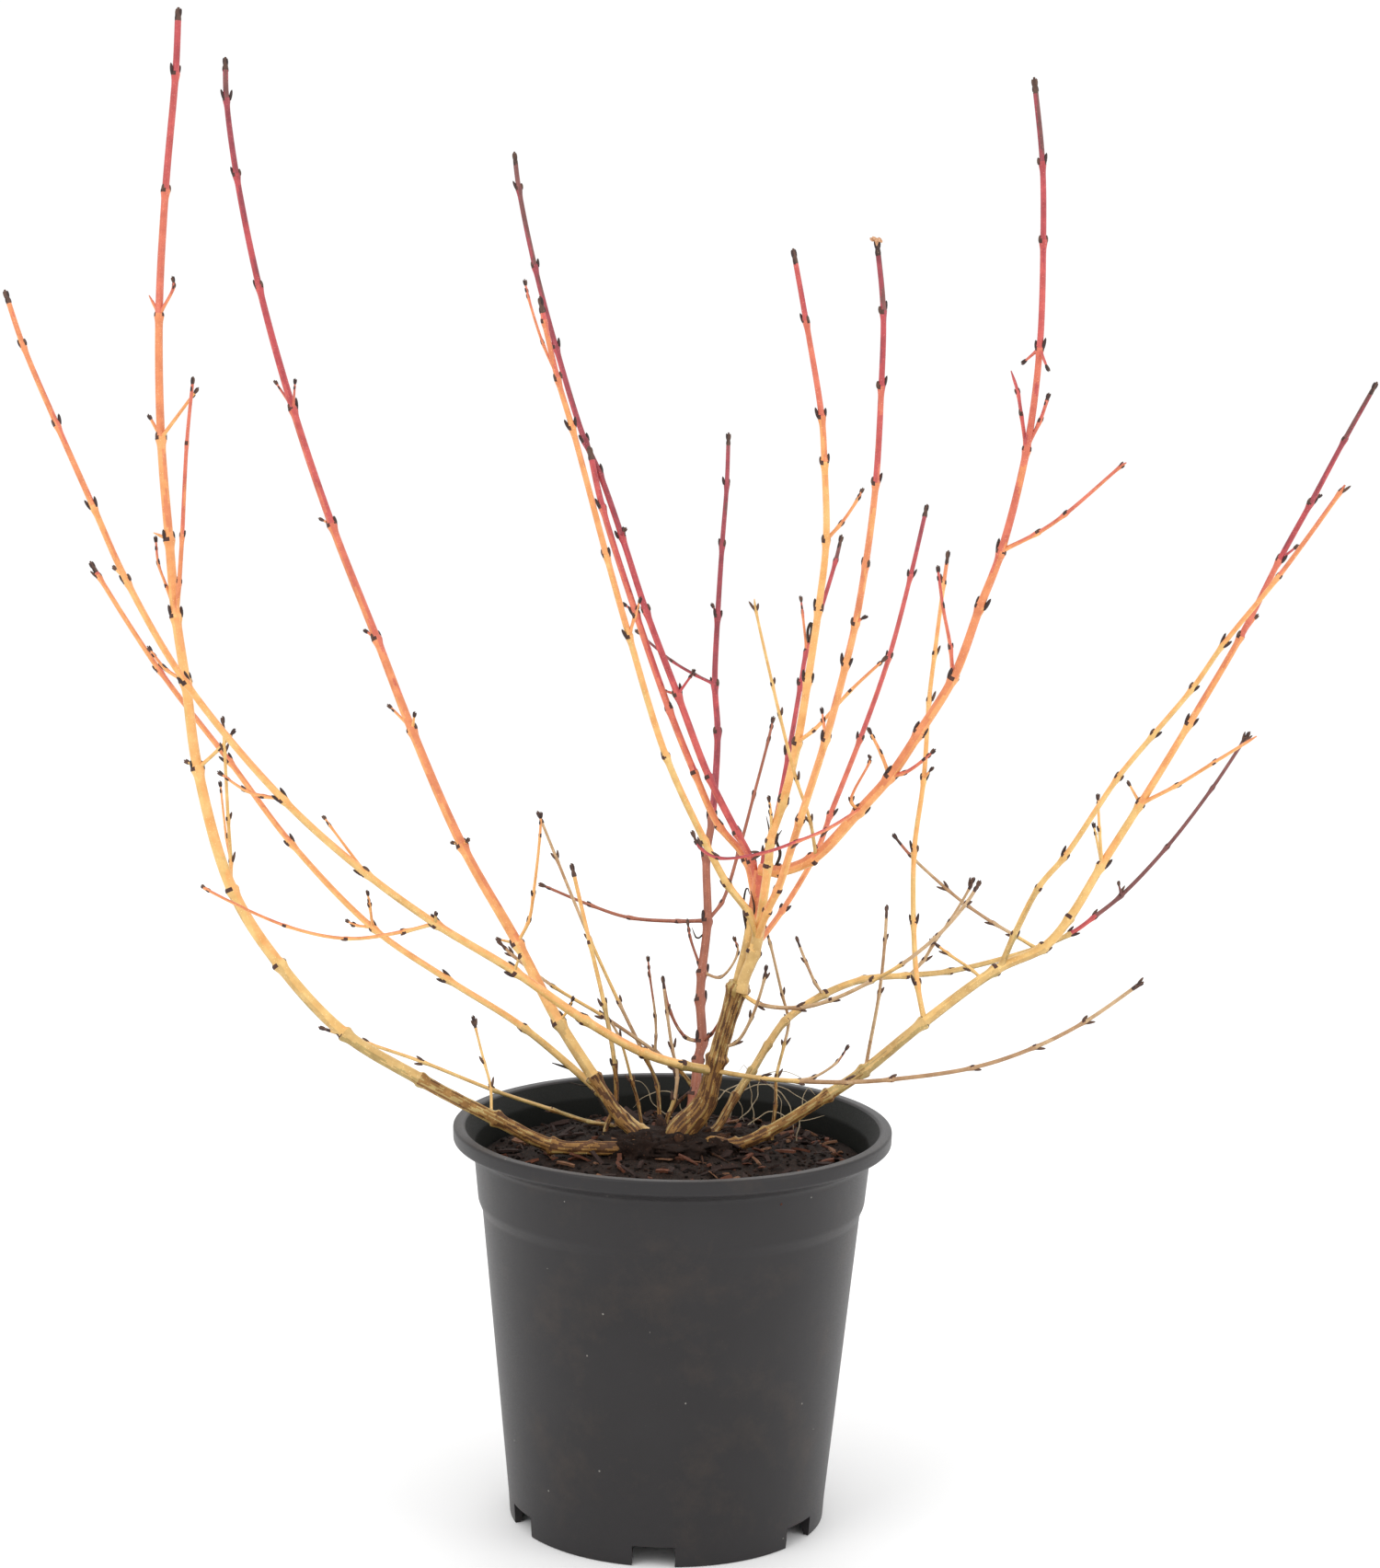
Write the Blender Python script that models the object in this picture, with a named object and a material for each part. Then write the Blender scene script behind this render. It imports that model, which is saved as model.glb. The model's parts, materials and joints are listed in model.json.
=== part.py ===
"""A potted dogwood in winter: a clump of bare coloured canes in a round nursery pot.

Metres, +Z up. The origin is on the ground, under the middle of the plant's box, and +Y points
away from the side that the plant is seen from. The canes are drawn as they show from the
front, in millimetres across and up a full-size drawing, and each is then placed in depth.
"""
import math
import random

import bmesh
import bpy
import numpy as np
from mathutils import Matrix, Vector

MM = 0.001
GAP = 0.0003
WELD = 0.000001

# The nursery pot
POT_CENTRE = Vector((-0.0063, 0.0, 0.0))
POT_SIDES = 72
RIM_RADIUS = 0.1210
RIM_HEIGHT = 0.2215
RIM_BAND = 0.0080
RIM_NECK = 0.0060
RIM_OVERHANG = 0.0040
RIM_UNDERCUT = 0.0015
LIP_EDGE = (0.0006, 0.0015, 0.0003, 0.0012)
LIP_INNER_RADIUS = 0.1150
LIP_DISH = 0.0006
LEDGE_DEPTH = 0.0105
COLLAR_TOP_RADIUS = 0.1095
COLLAR_FOOT_RADIUS = 0.1068
COLLAR_FOOT_HEIGHT = 0.1800
WALL_TOP_RADIUS = 0.1044
WALL_TOP_HEIGHT = 0.1740
WALL_FOOT_RADIUS = 0.0885
WALL_THICKNESS = 0.0014
FLOOR_UNDERSIDE = 0.0115
FLOOR_THICKNESS = 0.0016
FOOT_OUTER_RADIUS = 0.0877
FOOT_INNER_RADIUS = 0.0845
FOOT_ROOT_RADIUS = 0.0815
FOOT_COUNT = 6
FOOT_GAP_DEGREES = 15.0
FOOT_GAP_REACH = 0.030
FOOT_GAP_SPARE = 0.0002
FIRST_FOOT_GAP_DEGREES = -94.0
DRAIN_SLOT = (0.014, 0.007)
DRAIN_SLOT_RADIUS = 0.0700
DRAIN_CUT_HEIGHT = 0.040

# The soil, heaped a little round the stems, with a level top where they stand
SOIL_TOP = 0.2080
SOIL_EDGE = 0.1995
SOIL_LEVEL_RADIUS = 0.0600

# The eye that the front drawing is made for, and the drawing board square to its line of sight
EYE = Vector((0.0, -1.712, 0.660))
PITCH = math.radians(8.285)
ROLL = math.radians(-1.0)
BOARD = 1.730
FORWARD = Vector((0.0, math.cos(PITCH), -math.sin(PITCH)))
LEVEL_UP = Vector((0.0, math.sin(PITCH), math.cos(PITCH)))
LEVEL_RIGHT = Vector((1.0, 0.0, 0.0))
RIGHT = LEVEL_RIGHT * math.cos(ROLL) - LEVEL_UP * math.sin(ROLL)
UP = LEVEL_RIGHT * math.sin(ROLL) + LEVEL_UP * math.cos(ROLL)

# How canes are drawn and kept apart
CURVE_SAMPLES = 24
FINE_PITCH = 0.002
CHORD_TOLERANCE = 0.0004
FOOT_RISE = 0.003
FOOT_RISE_SHARE = 0.65
FOOT_HOLD = 0.015
ROOT_HOLD = 0.010
TIP_LENGTH = 0.005
TIP_SHARE = 0.4
CLEARANCE = 0.0012
YIELD_LENGTH = 0.030
YIELD_ROUNDS = 60
START_SEARCH = 0.060
CUT_ROUNDS = 14
CUT_RIM_POINTS = 12
BOUGH_STOP = 0.008
STOUT_RADIUS = 0.0032
TWIG_TAPER = 0.7

# Buds and short spurs, in pairs at a cane's joints, mostly to its two sides as it is seen
SPUR_LENGTH = (0.0030, 0.0052)
SPUR_GIRTH = 0.0016
SPUR_TIP_SHARE = 0.6
SPUR_ROOT_SHARE = 0.3
SPUR_LEAN = math.radians(30)
SPUR_TURN = 0.6
SPUR_CHANCE = 0.62
SPUR_CLEARANCE = 0.0010
JOINT_SPAN = 0.002

COLOURS = {
    "black": (0.045, 0.043, 0.042),
    "soil": (0.060, 0.035, 0.022),
    "brown": (0.300, 0.140, 0.045),
    "yellow": (0.600, 0.400, 0.100),
    "orange": (0.700, 0.230, 0.070),
    "red": (0.420, 0.060, 0.050),
}

standing = {}


def clear_scene():
    for old in list(bpy.data.objects):
        bpy.data.objects.remove(old, do_unlink=True)


def material(name, colour, roughness):
    made = bpy.data.materials.new(name)
    made.use_nodes = True
    shader = made.node_tree.nodes["Principled BSDF"]
    shader.inputs["Base Color"].default_value = (*COLOURS[colour], 1.0)
    shader.inputs["Roughness"].default_value = roughness
    shader.inputs["Metallic"].default_value = 0.0
    return made


def place(name, mesh, colour, roughness):
    """Puts a finished mesh in the scene under its own name and with its own material."""
    mesh.materials.clear()
    mesh.materials.append(material(name, colour, roughness))
    mesh.shade_smooth()
    mesh.set_sharp_from_angle(angle=math.radians(40))
    made = bpy.data.objects.new(name, mesh)
    bpy.context.collection.objects.link(made)
    return made


def turned(profile, name):
    """Spins a profile of radii and heights round the pot's axis into a closed mesh."""
    shape = bmesh.new()
    corners = [shape.verts.new(POT_CENTRE + Vector((r, 0.0, z))) for r, z in profile]
    edges = [shape.edges.new(pair) for pair in zip(corners, corners[1:])]
    bmesh.ops.spin(shape, geom=corners + edges, cent=POT_CENTRE, axis=(0.0, 0.0, 1.0),
                   angle=math.tau, steps=POT_SIDES, use_merge=True)
    bmesh.ops.remove_doubles(shape, verts=shape.verts, dist=WELD)
    bmesh.ops.recalc_face_normals(shape, faces=shape.faces)
    mesh = bpy.data.meshes.new(name)
    shape.to_mesh(mesh)
    shape.free()
    return mesh


def wall_radius(height):
    """The wall's outer radius at a height, up to the foot of the collar."""
    rise = (height - FLOOR_UNDERSIDE) / (WALL_TOP_HEIGHT - FLOOR_UNDERSIDE)
    return WALL_FOOT_RADIUS + (WALL_TOP_RADIUS - WALL_FOOT_RADIUS) * rise


def inner_wall():
    """The inside of the pot from the floor's edge to just under the lip, as radii and heights."""
    floor_top = FLOOR_UNDERSIDE + FLOOR_THICKNESS
    return [
        (wall_radius(floor_top) - WALL_THICKNESS, floor_top),
        (WALL_TOP_RADIUS - WALL_THICKNESS, WALL_TOP_HEIGHT),
        (COLLAR_FOOT_RADIUS - WALL_THICKNESS, COLLAR_FOOT_HEIGHT),
        (COLLAR_TOP_RADIUS - WALL_THICKNESS, RIM_HEIGHT - LEDGE_DEPTH),
    ]


def box_mesh(name, boxes):
    """One mesh of upright boxes, each given by its centre, its size and its turn about Z."""
    shape = bmesh.new()
    for centre, size, turn in boxes:
        made = bmesh.ops.create_cube(shape, size=1.0)["verts"]
        bmesh.ops.scale(shape, vec=size, verts=made)
        bmesh.ops.translate(shape, vec=(centre, 0.0, 0.0), verts=made)
        bmesh.ops.rotate(shape, cent=(0.0, 0.0, 0.0), matrix=Matrix.Rotation(turn, 3, "Z"), verts=made)
        bmesh.ops.translate(shape, vec=POT_CENTRE, verts=made)
    mesh = bpy.data.meshes.new(name)
    shape.to_mesh(mesh)
    shape.free()
    return mesh


def applied(target):
    """The mesh of an object with its modifiers applied."""
    graph = bpy.context.evaluated_depsgraph_get()
    return bpy.data.meshes.new_from_object(target.evaluated_get(graph))


def make_pot():
    """The moulded pot: rolled rim, collar, tapering wall, raised floor and six feet."""
    rim_foot = RIM_HEIGHT - RIM_BAND
    edge_in, edge_up, top_in, top_down = LIP_EDGE
    inner = inner_wall()
    profile = [
        (0.0, FLOOR_UNDERSIDE),
        (FOOT_ROOT_RADIUS, FLOOR_UNDERSIDE),
        (FOOT_INNER_RADIUS, 0.0),
        (FOOT_OUTER_RADIUS, 0.0),
        (WALL_FOOT_RADIUS, FLOOR_UNDERSIDE),
        (WALL_TOP_RADIUS, WALL_TOP_HEIGHT),
        (COLLAR_FOOT_RADIUS, COLLAR_FOOT_HEIGHT),
        (COLLAR_TOP_RADIUS, rim_foot - RIM_NECK),
        (RIM_RADIUS - RIM_OVERHANG, rim_foot - RIM_UNDERCUT),
        (RIM_RADIUS - edge_in, rim_foot),
        (RIM_RADIUS, rim_foot + edge_up),
        (RIM_RADIUS - top_in, RIM_HEIGHT - top_down),
        (RIM_RADIUS - edge_up, RIM_HEIGHT),
        (LIP_INNER_RADIUS, RIM_HEIGHT - LIP_DISH),
    ]
    profile += inner[::-1]
    profile.append((0.0, inner[0][1]))
    pot = place("pot", turned(profile, "pot"), "black", 0.5)
    cuts = []
    for index in range(FOOT_COUNT):
        turn = math.radians(FIRST_FOOT_GAP_DEGREES + index * 360.0 / FOOT_COUNT)
        width = 2.0 * WALL_FOOT_RADIUS * math.sin(math.radians(FOOT_GAP_DEGREES / 2))
        height = 2 * (FLOOR_UNDERSIDE - FOOT_GAP_SPARE)
        cuts.append((WALL_FOOT_RADIUS, (FOOT_GAP_REACH, width, height), turn))
        cuts.append((DRAIN_SLOT_RADIUS, (DRAIN_SLOT[1], DRAIN_SLOT[0], DRAIN_CUT_HEIGHT), turn))
    cutter = bpy.data.objects.new("foot_gap_cutter", box_mesh("foot_gap_cutter", cuts))
    cutter.hide_render = True
    cutter.display_type = "WIRE"
    bpy.context.collection.objects.link(cutter)
    boolean = pot.modifiers.new("foot gaps and drain slots", "BOOLEAN")
    boolean.operation = "DIFFERENCE"
    boolean.object = cutter


def make_soil():
    """The potting soil, which fills the pot to just below the collar's top."""
    floor_top = FLOOR_UNDERSIDE + FLOOR_THICKNESS + GAP
    inner = inner_wall()
    low, high = inner[2], inner[3]
    share = (SOIL_EDGE - low[1]) / (high[1] - low[1])
    edge_radius = low[0] + (high[0] - low[0]) * share
    profile = [(0.0, floor_top), (inner[0][0] - GAP, floor_top)]
    profile += [(inner[1][0] - GAP, inner[1][1]), (inner[2][0] - GAP, inner[2][1])]
    profile += [(edge_radius - GAP, SOIL_EDGE), (SOIL_LEVEL_RADIUS, SOIL_TOP), (0.0, SOIL_TOP)]
    place("soil", turned(profile, "soil"), "soil", 0.95)


def seen(across, up, away):
    """The point that shows at this place on the front drawing, this far behind the middle."""
    ray = FORWARD * BOARD + RIGHT * (across * MM) + UP * (up * MM)
    return np.array(EYE + ray * ((away * MM - EYE.y) / ray.y))


def in_depth(spots, away):
    """Places spots of the drawing in depth, with the given depths spread evenly along them."""
    run = np.cumsum([0.0] + [math.dist(a, b) for a, b in zip(spots, spots[1:])])
    depths = np.interp(run / run[-1], np.linspace(0.0, 1.0, len(away)), away)
    return [seen(*spot, depth) for spot, depth in zip(spots, depths)]


def smooth(points):
    """A centripetal Catmull-Rom curve through the points, sampled at an even fine pitch."""
    ends = [2 * points[0] - points[1], *points, 2 * points[-1] - points[-2]]
    dense = []
    for a, b, c, d in zip(ends, ends[1:], ends[2:], ends[3:]):
        t1 = math.sqrt(np.linalg.norm(b - a))
        t2 = t1 + math.sqrt(np.linalg.norm(c - b))
        t3 = t2 + math.sqrt(np.linalg.norm(d - c))
        t = np.linspace(t1, t2, CURVE_SAMPLES, endpoint=False)[:, None]
        ab = (t1 - t) / t1 * a + t / t1 * b
        bc = (t2 - t) / (t2 - t1) * b + (t - t1) / (t2 - t1) * c
        cd = (t3 - t) / (t3 - t2) * c + (t - t2) / (t3 - t2) * d
        abc = (t2 - t) / t2 * ab + t / t2 * bc
        bcd = (t3 - t) / (t3 - t1) * bc + (t - t1) / (t3 - t1) * cd
        dense.append((t2 - t) / (t2 - t1) * abc + (t - t1) / (t2 - t1) * bcd)
    dense = np.vstack([*dense, points[-1]])
    run = run_along(dense)
    count = max(3, round(run[-1] / FINE_PITCH) + 1)
    return at_run(dense, run, np.linspace(0.0, run[-1], count))


def run_along(path):
    steps = np.linalg.norm(np.diff(path, axis=0), axis=1)
    return np.concatenate([[0.0], np.cumsum(steps)])


def at_run(path, run, where):
    return np.stack([np.interp(where, run, path[:, axis]) for axis in range(3)], axis=-1)


def tapered(path, girth, tip=True):
    """Radii along a path, from diameters in millimetres spread evenly along it."""
    run = run_along(path)
    radii = np.interp(run / run[-1], np.linspace(0.0, 1.0, len(girth)), girth) * MM / 2
    if not tip:
        return radii
    to_tip = run[-1] - run
    return radii * np.interp(to_tip, [0.0, TIP_LENGTH], [TIP_SHARE, 1.0])


def on_limb(name, spot):
    """The point of a standing limb's middle line that shows nearest to a spot of the drawing."""
    path = standing[name][0]
    eye = np.array(EYE)
    sight = seen(*spot, 0.0) - eye
    sight /= np.linalg.norm(sight)
    offset = path - eye
    miss = offset - (offset @ sight)[:, None] * sight
    return path[np.linalg.norm(miss, axis=1).argmin()]


def give_way(path, radii, ignored, held=0.0):
    """Bends a path clear of the limbs that stand already, along the lines of sight.

    Its start keeps its place over the length that is held, and what still lies in a limb that
    it grows from doesn't count.
    """
    rooted = np.zeros(len(path), dtype=bool)
    for name in ignored:
        rooted |= outside(path, standing[name]) < radii
    rooted = np.cumprod(rooted).astype(bool)
    others = [limb for name, limb in standing.items() if name not in ignored]
    if not others:
        return path
    spots = np.vstack([limb[0] for limb in others])
    sizes = np.concatenate([limb[1] for limb in others])
    near = np.all((spots > path.min(0) - YIELD_LENGTH) & (spots < path.max(0) + YIELD_LENGTH), axis=1)
    spots, sizes = spots[near], sizes[near]
    if not len(spots):
        return path
    run = run_along(path)
    loose = np.clip(run / held, 0.0, 1.0) if held else np.ones(len(run))
    for _ in range(YIELD_ROUNDS):
        apart = np.linalg.norm(path[:, None] - spots[None], axis=2)
        overlap = radii[:, None] + sizes[None] + CLEARANCE - apart
        overlap[rooted] = -1.0
        here, there = np.unravel_index(overlap.argmax(), overlap.shape)
        if overlap[here, there] <= 0.0:
            break
        sight = path[here] - np.array(EYE)
        sight /= np.linalg.norm(sight)
        side = 1.0 if np.dot(path[here] - spots[there], sight) >= 0.0 else -1.0
        swell = np.clip(np.abs(run - run[here]) / YIELD_LENGTH, 0.0, 1.0)
        swell = (0.5 + 0.5 * np.cos(math.pi * swell)) * loose
        path = path + swell[:, None] * sight * side * (overlap[here, there] + GAP)
    return path


def outside(points, limb):
    """How far each point lies outside a limb with flat-cut ends, below zero inside it.

    The joints between its stretches count as balls, but none that would bulge past an end.
    """
    spots, radii = limb
    run = run_along(spots)
    step = np.diff(spots, axis=0)
    length = np.linalg.norm(step, axis=1)
    offset = points[:, None] - spots[None]
    share = np.einsum("pmk,mk->pm", offset[:, :-1], step) / length ** 2
    size = radii[:-1] + np.clip(share, 0.0, 1.0) * np.diff(radii)
    beside = np.linalg.norm(offset[:, :-1] - share[..., None] * step, axis=2) - size
    past = np.maximum(np.maximum(-share, share - 1.0), 0.0) * length
    beyond = np.hypot(past, np.maximum(beside, 0.0))
    ball = np.minimum(radii, np.minimum(run, run[-1] - run))
    joint = np.linalg.norm(offset, axis=2) - ball
    return np.minimum(np.where(past > 0.0, beyond, beside).min(axis=1), joint.min(axis=1))


def ring(path, radius, index):
    """The rim and middle of the flat cut across a path at one of its points."""
    ahead = path[min(index + 1, len(path) - 1)] - path[max(index - 1, 0)]
    axis = Vector(ahead).normalized()
    side = axis.orthogonal().normalized()
    other = axis.cross(side)
    turns = np.linspace(0.0, math.tau, CUT_RIM_POINTS)
    around = [side * math.cos(turn) + other * math.sin(turn) for turn in turns]
    return np.array([path[index]] + [path[index] + radius * np.array(way) for way in around])


def stands_clear(path, radii, parents):
    """Whether a path's flat start is clear of its parents, and its side of their flat ends."""
    for limb in (standing[name] for name in parents):
        flat_end = ring(limb[0], limb[1][-1], len(limb[0]) - 1)
        if outside(ring(path, radii[0], 0), limb).min() < GAP:
            return False
        if outside(flat_end, (path, radii)).min() < GAP:
            return False
    return True


def cut_back(path, radii, where):
    """A path without its first points, cut at a place between two of them."""
    steps = np.arange(len(path), dtype=float)
    kept = int(where) + 1
    spot = at_run(path, steps, np.array([where]))
    radius = np.interp(where, steps, radii)
    return np.vstack([spot, path[kept:]]), np.concatenate([[radius], radii[kept:]])


def trim_start(path, radii, parents):
    """Cuts a path's start back until it stands clear of the limbs that it grows from."""
    last = min(len(path) - 3, int(START_SEARCH / FINE_PITCH))
    clear = [stands_clear(path[index:], radii[index:], parents) for index in range(last + 1)]
    if all(clear):
        return path, radii
    blocked = max(index for index in range(last + 1) if not clear[index])
    low, high = float(blocked), blocked + 1.0
    for _ in range(CUT_ROUNDS):
        middle = (low + high) / 2
        if stands_clear(*cut_back(path, radii, middle), parents):
            high = middle
        else:
            low = middle
    if high > blocked + 0.999:
        return path[blocked + 1:], radii[blocked + 1:]
    return cut_back(path, radii, high)


def section(path, radii, start, end):
    """The stretch of a path between two lengths along it."""
    run = run_along(path)
    inside = (run > start + 1e-6) & (run < end - 1e-6)
    where = np.concatenate([[start], run[inside], [end]])
    return at_run(path, run, where), np.interp(where, run, radii)


def thinned(path, radii, tolerance, level=False):
    """Drops the points that a straight chord and an even taper can do without.

    A limb that stands level on the soil keeps its second point, straight above its first.
    """
    kept = [0, 1] if level else [0]
    while kept[-1] < len(path) - 1:
        reach = kept[-1] + 1
        for end in range(kept[-1] + 2, len(path)):
            chord = path[end] - path[kept[-1]]
            share = run_along(path[kept[-1]:end + 1])
            share = share / share[-1]
            stray = np.linalg.norm(path[kept[-1]:end + 1] - path[kept[-1]] - share[:, None] * chord, axis=1)
            even = np.interp(share, [0, 1], [radii[kept[-1]], radii[end]])
            uneven = np.abs(even - radii[kept[-1]:end + 1]).max()
            if stray.max() > tolerance or uneven > tolerance / 2:
                break
            reach = end
        kept.append(reach)
    return path[kept], radii[kept]


def refined(path, radii):
    """The same thinned path with points added at the fine pitch, for tests of what is near."""
    run = run_along(path)
    where = np.union1d(run, np.arange(FINE_PITCH, run[-1] - FINE_PITCH / 2, FINE_PITCH))
    return at_run(path, run, where), np.interp(where, run, radii)


def tube(name, path, radii, roundness):
    """A tapering tube with flat ends, as a closed mesh."""
    spots, sizes = thinned(path, radii, WELD)
    curve = bpy.data.curves.new(name, "CURVE")
    curve.dimensions = "3D"
    curve.bevel_depth = 1.0
    curve.bevel_resolution = roundness
    curve.use_fill_caps = True
    spline = curve.splines.new("POLY")
    spline.points.add(len(spots) - 1)
    for point, spot, size in zip(spline.points, spots, sizes):
        point.co = (*spot, 1.0)
        point.radius = size
    guide = bpy.data.objects.new(name, curve)
    bpy.context.collection.objects.link(guide)
    mesh = applied(guide)
    bpy.data.objects.remove(guide, do_unlink=True)
    bpy.data.curves.remove(curve)
    shape = bmesh.new()
    shape.from_mesh(mesh)
    bmesh.ops.remove_doubles(shape, verts=shape.verts, dist=WELD)
    shape.to_mesh(mesh)
    shape.free()
    return mesh


def fused(name, meshes):
    """One closed mesh from a stem and the twigs whose roots are sunk in it."""
    stem = bpy.data.objects.new(name, meshes[0])
    bpy.context.collection.objects.link(stem)
    if len(meshes) > 1:
        group = bpy.data.collections.new(name + "_parts")
        bpy.context.scene.collection.children.link(group)
        for mesh in meshes[1:]:
            group.objects.link(bpy.data.objects.new("piece", mesh))
        union = stem.modifiers.new("fuse", "BOOLEAN")
        union.operation = "UNION"
        union.operand_type = "COLLECTION"
        union.collection = group
    mesh = applied(stem)
    bpy.data.objects.remove(stem, do_unlink=True)
    if len(meshes) > 1:
        for piece in list(group.objects):
            bpy.data.objects.remove(piece, do_unlink=True)
        bpy.data.collections.remove(group)
    return mesh


def spurs(name, path, radii, joints, own):
    """Pairs of buds at a stem's joints, without those that would touch another limb or twig."""
    chance = random.Random(name)
    run = run_along(path)
    made = []
    for place in joints:
        spot, before, after = at_run(path, run, place + JOINT_SPAN * np.array([0.0, -1.0, 1.0]))
        ahead = (after - before) / np.linalg.norm(after - before)
        across = np.cross(ahead, spot - np.array(EYE))
        across /= np.linalg.norm(across)
        turn = chance.uniform(-SPUR_TURN, SPUR_TURN)
        facing = across * math.cos(turn) + np.cross(ahead, across) * math.sin(turn)
        radius = float(np.interp(place, run, radii))
        for side in (facing, -facing):
            way = side * math.sin(SPUR_LEAN) + ahead * math.cos(SPUR_LEAN)
            tip = spot + way * (chance.uniform(*SPUR_LENGTH) + radius)
            if chance.random() > SPUR_CHANCE:
                continue
            room = [outside(tip[None], limb)[0] for owner, limb in standing.items() if owner != name]
            if min(room) < SPUR_CLEARANCE + SPUR_GIRTH / 2:
                continue
            spur = (np.array([spot + way * radius * SPUR_ROOT_SHARE, tip]),
                    SPUR_GIRTH / 2 * np.array([1.0, SPUR_TIP_SHARE]))
            own.add(f"{name}_spur{len(made)}")
            standing[f"{name}_spur{len(made)}"] = spur
            made.append(spur)
    return made


def grow(name, spots, away, girth, foot=None, parents=(), boughs=(), twigs=(), colour="red"):
    """Grows one cane: its boughs, cut flat where one ends, and the twiggy top that goes on."""
    nodes = in_depth(spots, away)
    held = 0.0
    if parents:
        nodes[0] = on_limb(parents[0], spots[0])
        held = ROOT_HOLD
    if foot:
        ground = np.array([foot[0] * MM, foot[1] * MM, SOIL_TOP + GAP])
        rise = max(FOOT_RISE, girth[0] * MM * FOOT_RISE_SHARE)
        nodes = [ground, ground + np.array([0.0, 0.0, rise]), *nodes]
        held = FOOT_HOLD
    path = smooth(nodes)
    radii = tapered(path, girth)
    path = give_way(path, radii, parents, held)
    if foot:
        path[1, :2] = ground[:2]
    path, radii = refined(*thinned(path, radii, CHORD_TOLERANCE, level=bool(foot)))
    if parents:
        path, radii = trim_start(path, radii, parents)
    standing[name] = (path, radii)
    run = run_along(path)
    nearest = [run[np.linalg.norm(path[:, [0, 2]] - node[[0, 2]], axis=1).argmin()]
               for node in nodes[2 if foot else 0:]]
    start = 0.0
    for part, node in boughs:
        end = nearest[node] - BOUGH_STOP
        stretch = section(path, radii, start, end)
        roundness = 2 if stretch[1].max() > STOUT_RADIUS else 1
        place(f"{name}_{part}", tube(f"{name}_{part}", *stretch, roundness), colour, 0.5)
        start = end + GAP
    stem = section(path, radii, start, run[-1])
    pieces = [tube(name, *stem, 1)]
    own = {name}
    for number, (node, lean, width, *way) in enumerate(twigs):
        root = at_run(path, run, np.array([nearest[node]]))[0]
        share = np.linspace(0.0, 1.0, len(way) + 1)[1:]
        depths = root[1] / MM + lean * share
        twig = smooth([root, *(seen(*spot, depth) for spot, depth in zip(way, depths))])
        sizes = tapered(twig, (width, width * TWIG_TAPER))
        twig = give_way(twig, sizes, own)
        twig[0] = root
        twig, sizes = refined(*thinned(twig, sizes, CHORD_TOLERANCE))
        own.add(f"{name}_twig{number}")
        standing[f"{name}_twig{number}"] = (twig, sizes)
        pieces.append(tube(name, twig, sizes, 0))
    joints = [place - start for place in nearest[1:-1] if place > start + BOUGH_STOP / 2]
    pieces += [tube(name, *spur, 0) for spur in spurs(name, *stem, joints, own)]
    top = f"{name}_top" if boughs else name
    place(top, fused(top, pieces), colour, 0.5)


def grow_trunk():
    """The old brown stem on the stool, and the two limbs that its collar carries."""
    nodes = in_depth([(7.5, -174), (13, -155.5), (17.5, -139), (22.5, -122), (27, -108)], (3, 0, -2))
    ground = np.array([-0.0025, 0.003, SOIL_TOP + GAP])
    path = smooth([ground, ground + np.array([0.0, 0.0, 0.006]), *nodes])
    path[1, :2] = ground[:2]
    radii = tapered(path, (17, 14, 10.6, 9.6, 9.4, 11.8), tip=False)
    radii[0] = radii[1]
    standing["trunk"] = refined(*thinned(path, radii, CHORD_TOLERANCE, level=True))
    place("trunk", tube("trunk", *standing["trunk"], 3), "brown", 0.7)
    limbs = {
        "left_fork": ([(25, -113), (27, -104), (31, -89), (34.5, -69), (38, -47)], (1.4, 4), (6.0, 6.4)),
        "right_fork": ([(27.5, -113), (30, -104), (33, -97), (36, -87), (38, -76)], (-5.6, -6), (6.4, 6.6)),
    }
    for name, (spots, away, girth) in limbs.items():
        path = smooth(in_depth(spots, away))
        radii = tapered(path, girth, tip=False)
        path = give_way(path, radii, ("trunk",))
        path, radii = refined(*thinned(path, radii, CHORD_TOLERANCE))
        standing[name] = trim_start(path, radii, ("trunk",))
        place(name, tube(name, *standing[name], 2), "brown", 0.6)


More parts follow.
